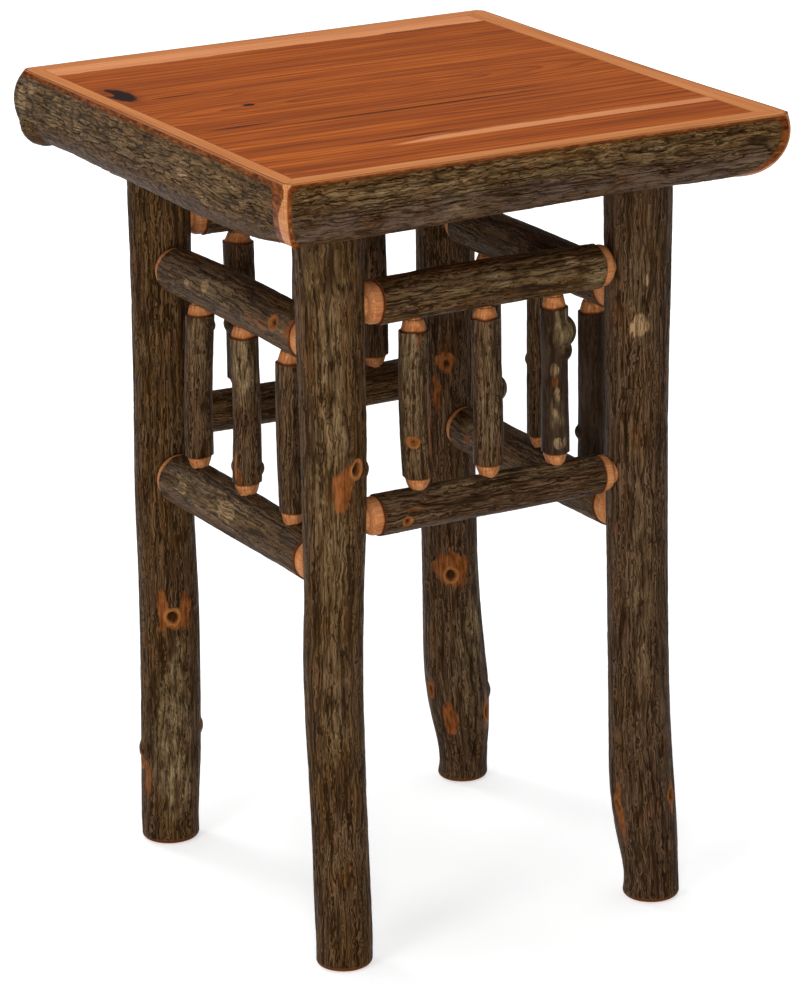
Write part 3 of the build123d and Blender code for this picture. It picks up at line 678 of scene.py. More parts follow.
def close_bores(outline, star, wooden):
    """The mouths of the screw bores, closed from the rows beside them."""
    offset = outline - np.array(star)
    old = np.hypot(offset[..., 0], offset[..., 1])
    reach = old
    for _ in range(3):
        usual = np.median(np.stack([np.roll(reach, k, 0) for k in (-7, -4, 0, 4, 7)]), 0)
        bad = (np.abs(reach - usual) > BORE_STEP) & wooden[None]
        bad[:14], bad[-14:] = False, False
        reach = np.where(bad, usual, reach)
    return np.array(star) + offset * (reach / old)[..., None]


def peel_fields(name, seed, walk, from_edge, to_first, to_last):
    """Bare wood and inner bark at a log's corners, and how far inside the bark a point is."""
    wobble = cloud(seed, walk * 0 + 1, walk, 1, 11 * MM)
    bare, brown = np.zeros_like(walk), np.zeros_like(walk)
    inset = np.full_like(walk, FAR_OUTSIDE)
    for distance, index, turn in ((to_first, 0, 1), (to_last, 1, -1)):
        wood_end, brown_end = (end * MM * (1 + 0.07 * wobble * turn) for end in PEELS[(name, index)])
        if (name, index) in PEEL_BENDS:
            down, wood_more, brown_more = PEEL_BENDS[(name, index)]
            wood_end = wood_end + np.interp(walk / MM, down, wood_more) * MM
            brown_end = brown_end + np.interp(walk / MM, down, brown_more) * MM
        outer = rounded(distance - wood_end, from_edge)
        bare = np.maximum(bare, 1 - soft_step(-WOOD_EDGE, WOOD_EDGE, outer))
        inner = rounded(distance - brown_end, from_edge - LIP_BANDS[name] * MM)
        inset = np.maximum(inset, -inner / MM)
        brown = np.maximum(brown, 1 - soft_step(-BARK_EDGE, BARK_EDGE, inner))
    bare = np.where(np.minimum(to_first, to_last) < 0.2, bare, 0)
    return bare, brown, inset


def wrap_edge_log(name, material, seed, rib, run, relief):
    """Edge log: furrowed bark round the outside, sawn flat and rabbet inside, peeled at its mitres."""
    node = "edge_log_" + name
    tree = node_tree(node)
    corner, inward, forward, length, first, last = side_frame(name)
    strip = STRIP_WIDTHS[name]
    inward3 = np.array((*inward, 0.0))
    forward3 = np.array((*forward, 0.0))
    up = np.array((0, 0, 1.0))
    origin = np.array((*corner, TABLE_HEIGHT))
    slope_first, slope_last = STRIP_WIDTHS[first] / strip, STRIP_WIDTHS[last] / strip
    gap = 1.25 * GLUE_GAP
    star = (STAR_ACROSS * strip, STAR_HEIGHT)

    def start_of(share):
        return (1 - share) * gap + share * (length - gap)

    def lean_of(share):
        return (1 - share) * slope_first - share * slope_last

    def spot(share, across, height):
        along = start_of(share) + lean_of(share) * across
        return origin + inward3 * across + up * height + forward3 * along

    def cast(share, across, height, step_across, step_height):
        """Distance in the section's own plane to the surface, from inside the wood."""
        ray = inward3 * step_across + up * step_height + forward3 * (lean_of(share) * step_across)
        size = np.linalg.norm(ray)
        hit = tree.ray_cast(Vector(spot(share, across, height)), Vector(ray / size), 0.3)
        return None if hit[0] is None else hit[3] / size

    shares = np.concatenate([
        np.linspace(0, MITRE_SHARE, MITRE_ROWS),
        np.linspace(MITRE_SHARE, 1 - MITRE_SHARE, LOG_ROWS[name])[1:-1],
        np.linspace(1 - MITRE_SHARE, 1, MITRE_ROWS),
    ])
    outline = log_outlines(cast, shares, strip, star)
    rows, count = outline.shape[:2]
    wooden = np.arange(count) > count - LOG_BARK_STEPS
    outline = close_bores(outline, star, wooden)

    across, height = outline[..., 0], outline[..., 1]
    lean = lean_of(shares)[:, None]
    along = start_of(shares)[:, None] + lean * across
    step_across = np.diff(across, axis=1, append=across[:, :1])
    step_height = np.diff(height, axis=1, append=height[:, :1])
    steps = np.hypot(step_across, step_height)
    walk = np.cumsum(steps[::-1, ::-1], 1)[::-1, ::-1]
    from_edge = np.where(wooden[None], walk, 0.0)
    to_first = along - slope_first * across
    to_last = length - slope_last * across - along
    nearest = np.minimum(to_first, to_last)
    barked = np.repeat(wooden[None].astype(float), rows, 0)

    bare, brown, inset = peel_fields(name, seed + 4, walk, from_edge, to_first, to_last)
    brown *= barked
    bare *= barked
    bared = np.maximum(brown, bare)
    on_top = ~wooden[None] & (height > -SKIM)
    lip = np.where(on_top, (across - across[:, :1]) / MM, FAR_FROM_LIP)
    line = np.clip(brown - bare, 0, 1)

    furrow = furrows(seed, along, walk, None, rib, run)
    swell = cloud(seed + 5, along, walk, 60 * MM, 22 * MM)
    pitted = cloud(seed + 6, along, walk, 8 * MM, 6 * MM)
    skin = barked * (1 - bared)
    inward_by = skin * (relief * furrow + LOG_SWELL * (1 + swell) + LOG_PITS * (1 + pitted))
    inward_by += barked * bared * BARE_STEP
    inward_by *= np.where(wooden[None], soft_step(0, EDGE_FADE, from_edge), 1)
    inward_by *= soft_step(*MITRE_FADE, nearest)
    toward = np.stack([star[0] - across, star[1] - height], -1)
    toward /= np.linalg.norm(toward, axis=-1, keepdims=True)
    across2 = across + toward[..., 0] * inward_by
    height2 = height + toward[..., 1] * inward_by
    along2 = start_of(shares)[:, None] + lean * across2
    place = np.stack([across2, height2, along2], -1)
    points = origin + inward3 * place[..., :1] + up * place[..., 1:2] + forward3 * place[..., 2:]

    def share_of(mark):
        share = np.hypot((along / MM - mark[0]) / mark[2], (walk / MM - mark[1]) / mark[3])
        return share * (1 + 0.3 * pitted)

    pale = covered(LOG_PALE.get(name, []), PALE_FRINGE, share_of, along.shape)
    mossy = covered(LOG_LICHEN.get(name, []), LICHEN_FRINGE, share_of, along.shape)

    faces = [(a, d, c, b) for a, b, c, d in tube_faces(rows, count)]
    faces.append(tuple(range(count)))
    faces.append(tuple(range((rows - 1) * count, rows * count))[::-1])
    fields = {"barked": barked, "peeled": bare, "rim": line, "furrow": furrow * skin}
    fields.update({"down": walk / MM, "inset": inset, "lip": lip, "pale": pale, "mossy": mossy})
    marks = {"place": place.reshape(-1, 3), **{key: field.ravel() for key, field in fields.items()}}
    return build_mesh(
        "bark_" + node, points.reshape(-1, 3), faces, None, marks, material, [node]
    )


# ---------------------------------------------------------------- node helpers


def tone(red, green, blue):
    """A colour written in 0 to 255 as a display shows it."""
    shares = [channel / 255 for channel in (red, green, blue)]
    linear = [s / 12.92 if s <= 0.04045 else ((s + 0.055) / 1.055) ** 2.4 for s in shares]
    return (*linear, 1.0)


class Bench:
    """Puts shader nodes on one tree and joins them."""

    def __init__(self, tree):
        self.tree = tree

    def fill(self, sockets, values):
        """Join each socket to another node's output, or set it to a plain value."""
        for key, value in values.items():
            if isinstance(value, bpy.types.NodeSocket):
                self.tree.links.new(value, sockets[key])
            else:
                sockets[key].default_value = value

    def put(self, kind, values=None, **settings):
        node = self.tree.nodes.new(kind)
        for key, value in settings.items():
            setattr(node, key, value)
        self.fill(node.inputs, values or {})
        return node

    def group(self, tree, values):
        return self.put("ShaderNodeGroup", values, node_tree=tree).outputs

    def mark(self, name, output="Fac"):
        return self.put("ShaderNodeAttribute", attribute_name=name).outputs[output]

    def marks(self, names):
        return {name: self.mark(name) for name in names.split()}

    def solid_place(self):
        return self.put("ShaderNodeTexCoord").outputs["Object"]

    def apart(self, vector):
        return tuple(self.put("ShaderNodeSeparateXYZ", {0: vector}).outputs)

    def together(self, x, y, z):
        return self.put("ShaderNodeCombineXYZ", {0: x, 1: y, 2: z}).outputs[0]

    def vector(self, operation, a, b):
        return self.put("ShaderNodeVectorMath", {0: a, 1: b}, operation=operation).outputs[0]

    def stretch(self, vector, scale):
        return self.vector("MULTIPLY", vector, scale)

    def math(self, operation, a, b=0.5, clamp=False):
        node = self.put("ShaderNodeMath", {0: a, 1: b}, operation=operation, use_clamp=clamp)
        return node.outputs[0]

    def plus(self, a, b):
        return self.math("ADD", a, b)

    def minus(self, a, b):
        return self.math("SUBTRACT", a, b)

    def times(self, a, b, clamp=False):
        return self.math("MULTIPLY", a, b, clamp)

    def squares(self, a, b):
        return self.plus(self.times(a, a), self.times(b, b))

    def swing(self, noise, size):
        """Noise turned into a swing to either side of nought."""
        return self.times(self.minus(noise, 0.5), size)

    def less(self, value, mask, share):
        """A value of which a mask takes a share away."""
        return self.times(value, self.minus(1.0, self.times(mask, share)))

    def spread(self, value, low, high, to_low=0.0, to_high=1.0, kind="LINEAR"):
        ends = {"From Min": low, "From Max": high, "To Min": to_low, "To Max": to_high}
        node = self.put("ShaderNodeMapRange", {"Value": value, **ends}, interpolation_type=kind)
        return node.outputs["Result"]

    def ease(self, value, low, high, to_low=0.0, to_high=1.0):
        return self.spread(value, low, high, to_low, to_high, "SMOOTHSTEP")

    def between(self, share, a, b):
        """A number between two, by a share."""
        return self.put("ShaderNodeMix", {0: share, 2: a, 3: b}, data_type="FLOAT").outputs[0]

    def blend(self, share, a, b):
        """A colour between two, by a share."""
        return self.put("ShaderNodeMix", {0: share, 6: a, 7: b}, data_type="RGBA").outputs[2]

    def paint(self, share, under, *colour):
        """One plain colour, in 0 to 255, laid over what is under it."""
        return self.blend(share, under, tone(*colour))

    def shades(self, share, *stops):
        """Colours along a ramp: each stop is its place and its colour in 0 to 255."""
        node = self.put("ShaderNodeValToRGB", {"Fac": share})
        elements = node.color_ramp.elements
        for index, (place, *colour) in enumerate(stops):
            stop = elements[index] if index < 2 else elements.new(place)
            stop.position, stop.color = place, tone(*colour)
        return node.outputs["Color"]

    def noise(self, vector, scale, detail, rough, bend=0.0):
        values = {"Vector": vector, "Scale": scale, "Detail": detail, "Roughness": rough}
        return self.put("ShaderNodeTexNoise", {**values, "Distortion": bend}).outputs["Fac"]

    def grain(self, vector, cells, detail, rough, bend=0.0):
        """Noise with so many cells to the metre along each axis."""
        return self.noise(self.stretch(vector, cells), 1.0, detail, rough, bend)

    def bump(self, height, strength, distance):
        values = {"Height": height, "Strength": strength, "Distance": distance}
        return self.put("ShaderNodeBump", values).outputs["Normal"]


def new_group(name, starts, results):
    """A shader group: its bench, what comes in and what goes out. Place, a vector, has no start."""
    tree = bpy.data.node_groups.new(name, "ShaderNodeTree")
    for label, start in starts.items():
        kind = "NodeSocketVector" if start is None else "NodeSocketFloat"
        socket = tree.interface.new_socket(name=label, in_out="INPUT", socket_type=kind)
        if start is not None:
            socket.default_value = start
    for label in results:
        kind = "NodeSocketColor" if label == "Colour" else "NodeSocketFloat"
        tree.interface.new_socket(name=label, in_out="OUTPUT", socket_type=kind)
    came = tree.nodes.new("NodeGroupInput").outputs
    went = tree.nodes.new("NodeGroupOutput").inputs
    return Bench(tree), came, went


def bark_group():
    """Dark bark: brown ridges, near-black furrows, lengthwise threads, drifts of tone and lichen."""
    marks = {"Place": None, "Furrow": 0.0, "Pale": 0.0, "Lichen": 0.0}
    tones = {"Warmth": 0.5, "Chips": 1.0, "Olive": 0.0}
    b, came, went = new_group("bark_ground", {**marks, **tones}, ("Colour", "Height", "Roughness"))
    place = came["Place"]
    chips, lichen = came["Chips"], came["Lichen"]
    # Threads and ribs wander a little, so their place is bent first.
    bends = {"Vector": b.stretch(place, (80, 80, 105)), "Scale": 1.0, "Detail": 1.0}
    bends = b.put("ShaderNodeTexNoise", bends).outputs["Color"]
    bends = b.vector("SUBTRACT", bends, (0.5, 0.5, 0.5))
    wavy = b.vector("ADD", place, b.stretch(bends, (0.0045, 0.0045, 0.0)))
    threads = b.grain(wavy, (520, 520, 16), 3, 0.6, 0.3)
    fibres = b.grain(place, (1000, 1000, 60), 3, 0.6)
    ribs = b.grain(wavy, (340, 340, 9), 1, 0.5, 0.3)
    middle = b.math("ABSOLUTE", b.minus(ribs, 0.5))
    crack = b.ease(middle, 0.0, 0.045, 1.0, 0.0)
    crest = b.minus(b.ease(middle, 0.035, 0.065), b.ease(middle, 0.08, 0.16))
    drift = b.grain(place, (26, 26, 11), 4, 0.6)
    mottle = b.grain(place, (110, 110, 55), 5, 0.65)
    specks = b.grain(place, (420, 420, 220), 3, 0.6)

    cool = b.shades(threads, (0.28, 41, 26, 14), (0.50, 66, 46, 31), (0.72, 94, 72, 55))
    warm = b.shades(threads, (0.28, 41, 23, 4), (0.50, 66, 42, 13), (0.72, 95, 65, 28))
    warmer = b.plus(drift, b.minus(came["Warmth"], 0.5))
    ridge = b.blend(b.ease(warmer, 0.36, 0.60), cool, warm)
    olive = b.shades(threads, (0.30, 40, 23, 6), (0.50, 94, 64, 27), (0.70, 158, 123, 76))
    ridge = b.blend(came["Olive"], ridge, olive)
    rusty = b.ease(b.grain(place, (48, 48, 22), 3, 0.6), 0.56, 0.72, 0.0, 0.5)
    ridge = b.paint(rusty, ridge, 92, 46, 16)
    ridge = b.paint(b.spread(mottle, 0.38, 0.62, 0.45, 0.0), ridge, 38, 23, 9)
    plain = b.shades(drift, (0.40, 30, 21, 15), (0.60, 64, 53, 46))
    ridge = b.blend(b.spread(chips, 0.0, 1.0, 0.85, 0.0), ridge, plain)
    hazy = b.times(lichen, b.ease(mottle, 0.38, 0.58, 0.15, 0.95), clamp=True)
    ridge = b.blend(hazy, ridge, b.shades(threads, (0.3, 92, 73, 46), (0.7, 142, 121, 88)))
    # A painted highlight along the crests of the ridges.
    crest_highlight = b.times(b.times(crest, fibres), b.times(chips, 0.62))
    ridge = b.paint(crest_highlight, ridge, 136, 108, 80)
    colour = b.paint(b.times(came["Furrow"], 0.85), ridge, 26, 14, 4)
    colour = b.paint(b.times(crack, b.times(chips, 0.80)), colour, 26, 14, 5)

    # Spots of lichen, more of them where there is more of it, and none down in the cracks.
    spots = b.plus(b.times(mottle, 0.5), b.times(specks, 0.5))
    spots = b.ease(b.minus(spots, b.minus(0.66, b.times(lichen, 0.15))), 0.0, 0.14)
    mossy = b.times(spots, b.spread(lichen, 0.0, 0.3, 0.0, 0.62), clamp=True)
    mossy = b.less(mossy, crack, 0.6)
    colour = b.blend(mossy, colour, b.shades(threads, (0.3, 104, 88, 60), (0.7, 160, 140, 106)))

    # Pale spots, worn ones and a painted highlight, keep the dark lines of the furrows.
    wear_and_sheen = b.ease(b.plus(came["Pale"], b.swing(mottle, 1.2)), 0.30, 0.80)
    wear_and_sheen = b.times(wear_and_sheen, b.spread(threads, 0.40, 0.56, 0.10, 0.95))
    stripes = b.math("MAXIMUM", crack, b.times(came["Furrow"], 0.9))
    colour = b.paint(b.less(wear_and_sheen, stripes, 0.9), colour, 152, 122, 88)

    height = b.plus(b.times(threads, 0.7), b.times(crack, -0.7))
    height = b.plus(height, b.times(fibres, 0.25))
    rough = b.plus(b.spread(threads, 0.3, 0.7, 0.36, 0.50), b.times(mossy, 0.3))
    b.fill(went, {"Colour": colour, "Height": height, "Roughness": rough})
    return b.tree


def peeled_group():
    """Peeled and turned wood: orange-tan with growth rings round the heart and streaks along it."""
    b, came, went = new_group(
        "peeled_wood",
        {"Place": None, "Rim": 0.0, "Core": 0.0, "Collar": 0.0, "Redness": 0.5},
        ("Colour", "Height"),
    )
    place = came["Place"]
    flat = b.stretch(place, (1, 1, 0))
    radius = b.put("ShaderNodeVectorMath", {0: flat}, operation="LENGTH").outputs["Value"]
    bent = b.grain(place, (60, 60, 25), 3, 0.5)
    rings = b.math("SINE", b.plus(b.times(radius, 4200.0), b.times(bent, 7.0)))
    rings = b.spread(rings, -1, 1)
    streaks = b.grain(place, (700, 700, 30), 4, 0.6, 0.3)
    drift = b.grain(place, (45, 45, 20), 3, 0.6)

    share = b.plus(b.times(streaks, 0.6), b.times(drift, 0.4))
    wood = b.shades(share, (0.30, 140, 80, 42), (0.50, 182, 120, 74), (0.72, 212, 158, 110))
    wood = b.paint(b.times(rings, 0.26), wood, 136, 72, 36)
    wood = b.blend(came["Redness"], wood, b.shades(streaks, (0.3, 54, 25, 6), (0.7, 118, 62, 22)))
    wood = b.paint(b.times(came["Collar"], 0.9), wood, 150, 100, 52)
    wood = b.paint(b.ease(came["Rim"], 0.25, 0.85), wood, 82, 38, 16)
    rotten = b.shades(streaks, (0.35, 16, 8, 3), (0.65, 56, 32, 14))
    wood = b.blend(b.times(came["Core"], 0.94), wood, rotten)
    height = b.plus(b.times(streaks, 0.3), b.times(rings, 0.10))
    b.fill(went, {"Colour": wood, "Height": height})
    return b.tree


def planed_group():
    """Planed wood: rings cut by the saw round a heart line, with streaks, thin lines and pores."""
    b, came, went = new_group(
        "planed_wood",
        {"Place": None, "Heart": 0.0, "Depth": 0.05, "Rise": 0.0, "Ring width": 0.007, "Offset": 0.0},
        ("Grain", "Streak", "Height"),
    )
    along, across, _ = b.apart(came["Place"])
    shifted = b.together(along, across, came["Offset"])
    sway = b.grain(shifted, (5, 26, 1), 3, 0.5)
    side = b.plus(b.minus(across, came["Heart"]), b.swing(sway, 0.020))
    depth = b.plus(came["Depth"], b.times(along, came["Rise"]))
    radius = b.math("SQRT", b.squares(side, depth))
    uneven = b.grain(shifted, (3, 60, 1), 2, 0.5)
    turns = b.plus(b.math("DIVIDE", radius, came["Ring width"]), b.times(uneven, 1.6))
    saw = b.math("FRACT", turns)
    late = b.times(b.math("POWER", saw, 3.0), b.spread(saw, 0.93, 1.0, 1.0, 0.0))
    fine = b.grain(shifted, (7, 380, 1), 4, 0.6)
    broad = b.grain(shifted, (3, 60, 1), 4, 0.6, 0.4)
    streak = b.plus(b.times(fine, 0.55), b.times(broad, 0.45))
    lines = b.grain(shifted, (2.2, 120, 1), 2, 0.5, 0.3)
    lines = b.spread(b.math("ABSOLUTE", b.minus(lines, 0.47)), 0.0, 0.022, 1.0, 0.0)
    patchy = b.grain(shifted, (6, 40, 1), 2, 0.5)
    lines = b.times(lines, b.spread(patchy, 0.40, 0.62, 0.15, 0.95))
    late = b.math("MAXIMUM", late, lines)
    pores = b.grain(shifted, (60, 2600, 1), 3, 0.6)
    height = b.plus(b.times(pores, 0.5), b.times(late, 0.2))
    b.fill(went, {"Grain": late, "Streak": streak, "Height": height})
    return b.tree


BARK = bark_group()
PEELED = peeled_group()
PLANED = planed_group()

# ---------------------------------------------------------------- materials

# Warm tints of the lacquer on bark and on the boards.
BARK_LACQUER = tone(255, 206, 150)
BOARD_LACQUER = tone(255, 214, 160)


def new_material(name):
    material = bpy.data.materials.new(name)
    material.use_nodes = True
    shader = material.node_tree.nodes["Principled BSDF"]
    return material, Bench(material.node_tree), shader.inputs


def lay_bark(b, place, marks, warmth, chips, olive):
    values = {"Place": place, "Furrow": marks["furrow"], "Pale": marks["pale"], "Lichen": marks["mossy"]}
    return b.group(BARK, {**values, "Warmth": warmth, "Chips": chips, "Olive": olive})


def lay_planed(b, place, heart, depth, ring, offset, rise=0.0):
    values = {"Place": place, "Heart": heart, "Depth": depth, "Rise": rise}
    return b.group(PLANED, {**values, "Ring width": ring, "Offset": offset})


def pole_material(name, warmth, chips=1.0, olive=0.0, rough=None, cone=0.12):
    """Bark with its peeled ends, knots and patches, all under one low-gloss finish.

    Cone is how red the whittled ends are, and rough is given where the bark is evenly smooth.
    """
    material, b, shader = new_material(name)
    place = b.mark("place", "Vector")
    marks = b.marks("barked peeled rim furrow core collar pale mossy")
    barked = marks["barked"]
    bark = lay_bark(b, place, marks, warmth, chips, olive)
    ragged = b.grain(place, (260, 260, 90), 4, 0.6)
    torn = b.plus(marks["peeled"], b.swing(ragged, 1.0))
    torn = b.times(b.ease(torn, 0.30, 0.85), barked)
    on_bark = b.minus(barked, torn)
    red_patch = b.times(barked, b.spread(ragged, 0.35, 0.65, 1.0, 0.72))
    red_end = b.times(b.minus(1.0, barked), b.spread(ragged, 0.40, 0.62, 0.0, cone))
    values = {"Rim": marks["rim"], "Core": marks["core"], "Collar": marks["collar"]}
    wood = b.group(PEELED, {**values, "Place": place, "Redness": b.plus(red_patch, red_end)})
    height = b.between(on_bark, wood["Height"], bark["Height"])
    b.fill(shader, {
        "Base Color": b.blend(on_bark, wood["Colour"], bark["Colour"]),
        "Roughness": b.between(on_bark, 0.42, bark["Roughness"]) if rough is None else rough,
        "Normal": b.bump(height, 0.6, 0.0010),
        "Specular IOR Level": 0.045,
        "Specular Tint": BARK_LACQUER,
    })
    return material


def edge_log_material(name, strip, warmth, olive, depth, sheen_from, shaded):
    """Coarse bark, brown inner bark along its cut edges, bare wood at the corners and sawn on top.

    The three numbers after olive are millimetres down from the sawn edge: where the olive ends,
    where a band of painted sheen starts, and from where a painted shade darkens the bark.
    """
    material, b, shader = new_material(name)
    place = b.mark("place", "Vector")
    marks = b.marks("barked peeled rim furrow pale mossy down inset lip")
    down, rim = marks["down"], marks["rim"]
    bark = lay_bark(b, place, marks, warmth, 1.0, b.ease(down, 0.4 * depth, depth, olive, 0.0))
    peeled = b.group(PEELED, {"Place": place, "Redness": 0.0})

    # The sawn flat, with a dark seam against the boards and a dark line at its lip.
    across, height, along = b.apart(place)
    planed = lay_planed(b, b.together(along, across, height), 0.03, 0.03, 0.0032, 0.4)
    flat = b.shades(planed["Streak"], (0.3, 162, 94, 48), (0.5, 184, 114, 64), (0.7, 202, 136, 84))
    flat = b.paint(b.times(planed["Grain"], 0.30), flat, 160, 92, 52)
    seam = b.spread(across, strip - 0.0013, strip - 0.0004)
    flat = b.paint(b.times(seam, 0.75), flat, 120, 58, 26)
    flat = b.paint(b.spread(marks["lip"], 0.5, 2.2, 0.95, 0.0), flat, 70, 30, 10)

    # Bare wood in rasped layers, inside a band of brown inner bark.
    ragged = b.grain(place, (300, 300, 120), 4, 0.6)
    torn = b.plus(b.math("MAXIMUM", marks["peeled"], rim), b.swing(ragged, 0.5))
    torn = b.ease(torn, 0.42, 0.56)
    wavy = b.grain(place, (90, 90, 40), 3, 0.5)
    layer = b.plus(b.times(marks["inset"], 0.42), b.times(wavy, 1.6))
    layer = b.spread(b.math("SINE", b.times(layer, 3.4)), -1, 1)
    bare = b.paint(b.times(layer, 0.22), peeled["Colour"], 214, 156, 102)
    inner_bark = b.shades(ragged, (0.35, 68, 30, 10), (0.50, 100, 50, 20), (0.65, 136, 78, 36))
    bare = b.blend(rim, bare, inner_bark)
    meeting = b.times(rim, b.minus(1.0, rim))
    bare = b.paint(b.times(meeting, 3.0, clamp=True), bare, 78, 38, 16)
    bare = b.paint(b.spread(marks["inset"], 0.0, 1.1, 0.8, 0.0), bare, 60, 27, 9)

    # Bark with a band of painted sheen, and a painted shade that darkens it low down.
    wear_and_sheen = b.ease(b.grain(place, (60, 60, 30), 4, 0.6), 0.42, 0.62)
    wear_and_sheen = b.times(wear_and_sheen, b.ease(down, sheen_from - 12, sheen_from))
    wear_and_sheen = b.times(wear_and_sheen, b.ease(down, sheen_from + 14, sheen_from + 30, 0.55, 0.0))
    ground = b.paint(b.less(wear_and_sheen, marks["furrow"], 0.8), bark["Colour"], 100, 82, 72)
    # Painted shade: the bark is darkened low down on each log, where less light reaches it.
    ground = b.paint(b.ease(down, shaded, shaded + 28, 0.0, 0.6), ground, 60, 36, 14)

    on_bark = b.times(marks["barked"], b.minus(1.0, torn))
    relief = b.between(on_bark, b.times(planed["Height"], 0.15), bark["Height"])
    b.fill(shader, {
        "Base Color": b.blend(marks["barked"], flat, b.blend(torn, ground, bare)),
        "Roughness": b.between(on_bark, 0.34, bark["Roughness"]),
        "Normal": b.bump(relief, 0.6, 0.0011),
        "Specular IOR Level": 0.035,
        "Specular Tint": BARK_LACQUER,
    })
    return material


def board_material(name, heart, depth, rise, ring, offset, sapwood=(), streaks=(), knots=()):
    """Lacquered board of the top: its own grain, pale sapwood along an edge, dark streaks and knots.

    Sapwood: the edge, where along it the band starts and is full, its reach, how soft its inner side
    is, and the way in from the edge. Streaks and knots: middle, half sizes and strength. A knot may
    end with a sliver of clear wood left in it: middle and half sizes.
    """
    material, b, shader = new_material(name)
    place = b.solid_place()
    along, across, _ = b.apart(place)
    planed = lay_planed(b, place, heart, depth, ring, offset, rise)
    streak = planed["Streak"]

    def share_of(x, y, half_x, half_y, noise=None, size=0.0):
        dx = b.math("DIVIDE", b.minus(along, x), half_x)
        dy = b.math("DIVIDE", b.minus(across, y), half_y)
        if noise is not None:
            dy = b.plus(dy, b.swing(noise, size))
        return b.squares(dx, dy)

    colour = b.shades(streak, (0.36, 120, 52, 5), (0.50, 155, 73, 14), (0.66, 183, 97, 32))
    colour = b.paint(b.times(planed["Grain"], 0.75), colour, 90, 34, 6)
    wave = b.swing(b.grain(place, (22, 70, 1), 4, 0.6), 0.012)
    for edge, start, full, reach, soft, turn in sapwood:
        width = b.ease(along, start, full, -0.003, reach)
        band = b.minus(b.plus(width, wave), b.times(b.minus(across, edge), turn))
        pale = b.shades(streak, (0.3, 178, 106, 62), (0.7, 214, 146, 98))
        colour = b.blend(b.times(b.ease(band, 0.0, soft), 0.92), colour, pale)
        if soft < 0.002:
            rim = b.spread(b.math("ABSOLUTE", b.plus(band, 0.001)), 0.0, 0.0022)
            colour = b.paint(b.times(b.minus(1.0, rim), 0.35), colour, 104, 46, 18)
    if streaks:
        wispy = b.grain(place, (14, 420, 1), 4, 0.6)
    for x, y, half_x, half_y, strength in streaks:
        share = share_of(x, y, half_x, half_y, wispy, 3.0)
        colour = b.paint(b.ease(share, 0.0, 1.2, strength, 0.0), colour, 62, 22, 6)
    height = b.times(planed["Height"], 0.12)
    if knots:
        ragged = b.grain(place, (160, 160, 1), 5, 0.7)
    dips = None
    for x, y, half_x, half_y, strength, *sliver in knots:
        far = b.plus(b.math("SQRT", share_of(x, y, half_x, half_y)), b.swing(ragged, 0.8))
        colour = b.paint(b.ease(far, 0.8, 1.7, 0.5 * strength, 0.0), colour, 112, 46, 18)
        dark = b.ease(far, 0.80, 1.0, strength, 0.0)
        if sliver:
            clear = b.plus(share_of(*sliver), b.swing(ragged, 1.4))
            dark = b.times(dark, b.ease(clear, 0.6, 1.1))
        colour = b.paint(dark, colour, 26, 10, 6)
        dips = dark if dips is None else b.math("MAXIMUM", dips, dark)
    if dips is not None:
        height = b.minus(height, b.times(dips, 0.6))
    b.fill(shader, {
        "Base Color": colour,
        "Roughness": b.spread(streak, 0.3, 0.7, 0.34, 0.42),
        "Normal": b.bump(height, 0.35, 0.0006),
        "Specular IOR Level": 0.055,
        "Specular Tint": BOARD_LACQUER,
    })
    return material


def cleat_material():
    """Plain sawn hardwood, unfinished, with faint saw marks across it."""
    material, b, shader = new_material("cleat_hardwood")
    place = b.solid_place()
    x, y, z = b.apart(place)
    planed = lay_planed(b, b.together(y, x, z), 0.1, 0.08, 0.005, 2.7)
    colour = b.shades(planed["Streak"], (0.3, 176, 134, 92), (0.5, 198, 158, 114), (0.7, 214, 178, 136))
    colour = b.paint(b.times(planed["Grain"], 0.35), colour, 150, 104, 64)
    saw = b.grain(place, (8, 420, 8), 2, 0.5)
    height = b.plus(b.times(saw, 0.5), planed["Height"])
    b.fill(shader, {
        "Base Color": b.paint(b.spread(saw, 0.55, 0.75, 0.0, 0.25), colour, 160, 118, 78),
        "Roughness": 0.72,
        "Normal": b.bump(height, 0.3, 0.0005),
    })
    return material


def screw_material():
    """Zinc-plated steel with a faint yellow drift."""
    material, b, shader = new_material("zinc_screw")
    drift = b.noise(b.solid_place(), 260.0, 3, 0.6)
    b.fill(shader, {
        "Base Color": b.shades(drift, (0.3, 158, 156, 150), (0.7, 196, 190, 172)),
        "Roughness": b.spread(drift, 0.3, 0.7, 0.28, 0.45),
        "Metallic": 1.0,
    })
    return material


# ---------------------------------------------------------------- the table


def finish_node(node, material):
    """A solid that is shown as it is, in its own finish."""
    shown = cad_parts[node]
    shown.data.materials.clear()
    shown.data.materials.append(material)


# The big black knot on the seam of two boards, with a sliver of clear wood left in it.
BLACK_KNOT = (-0.2025, 0.107, 0.0115, 0.030, 1.0, -0.2095, 0.119, 0.0045, 0.013)
SMALL_KNOT = (-0.127, 0.015, 0.0055, 0.0042, 1.0)
FRONT_BOARD = board_material(
    "top_board_front", -0.36, 0.05, 0.0, 0.009, 0.2,
    streaks=((-0.10, -0.212, 0.10, 0.0012, 0.6), (0.12, -0.205, 0.08, 0.0010, 0.5)),
)
SECOND_BOARD = board_material(
    "top_board_second", -0.30, 0.06, 0.0, 0.012, 1.3,
    sapwood=((-0.182, -0.135, -0.035, 0.019, 0.009, 1),),
    streaks=(
        (-0.010, -0.0690, 0.160, 0.0034, 0.95),
        (0.060, -0.0780, 0.110, 0.0018, 0.8),
        (-0.070, -0.1600, 0.070, 0.0024, 0.9),
        (0.110, -0.1300, 0.060, 0.0010, 0.5),
    ),
)
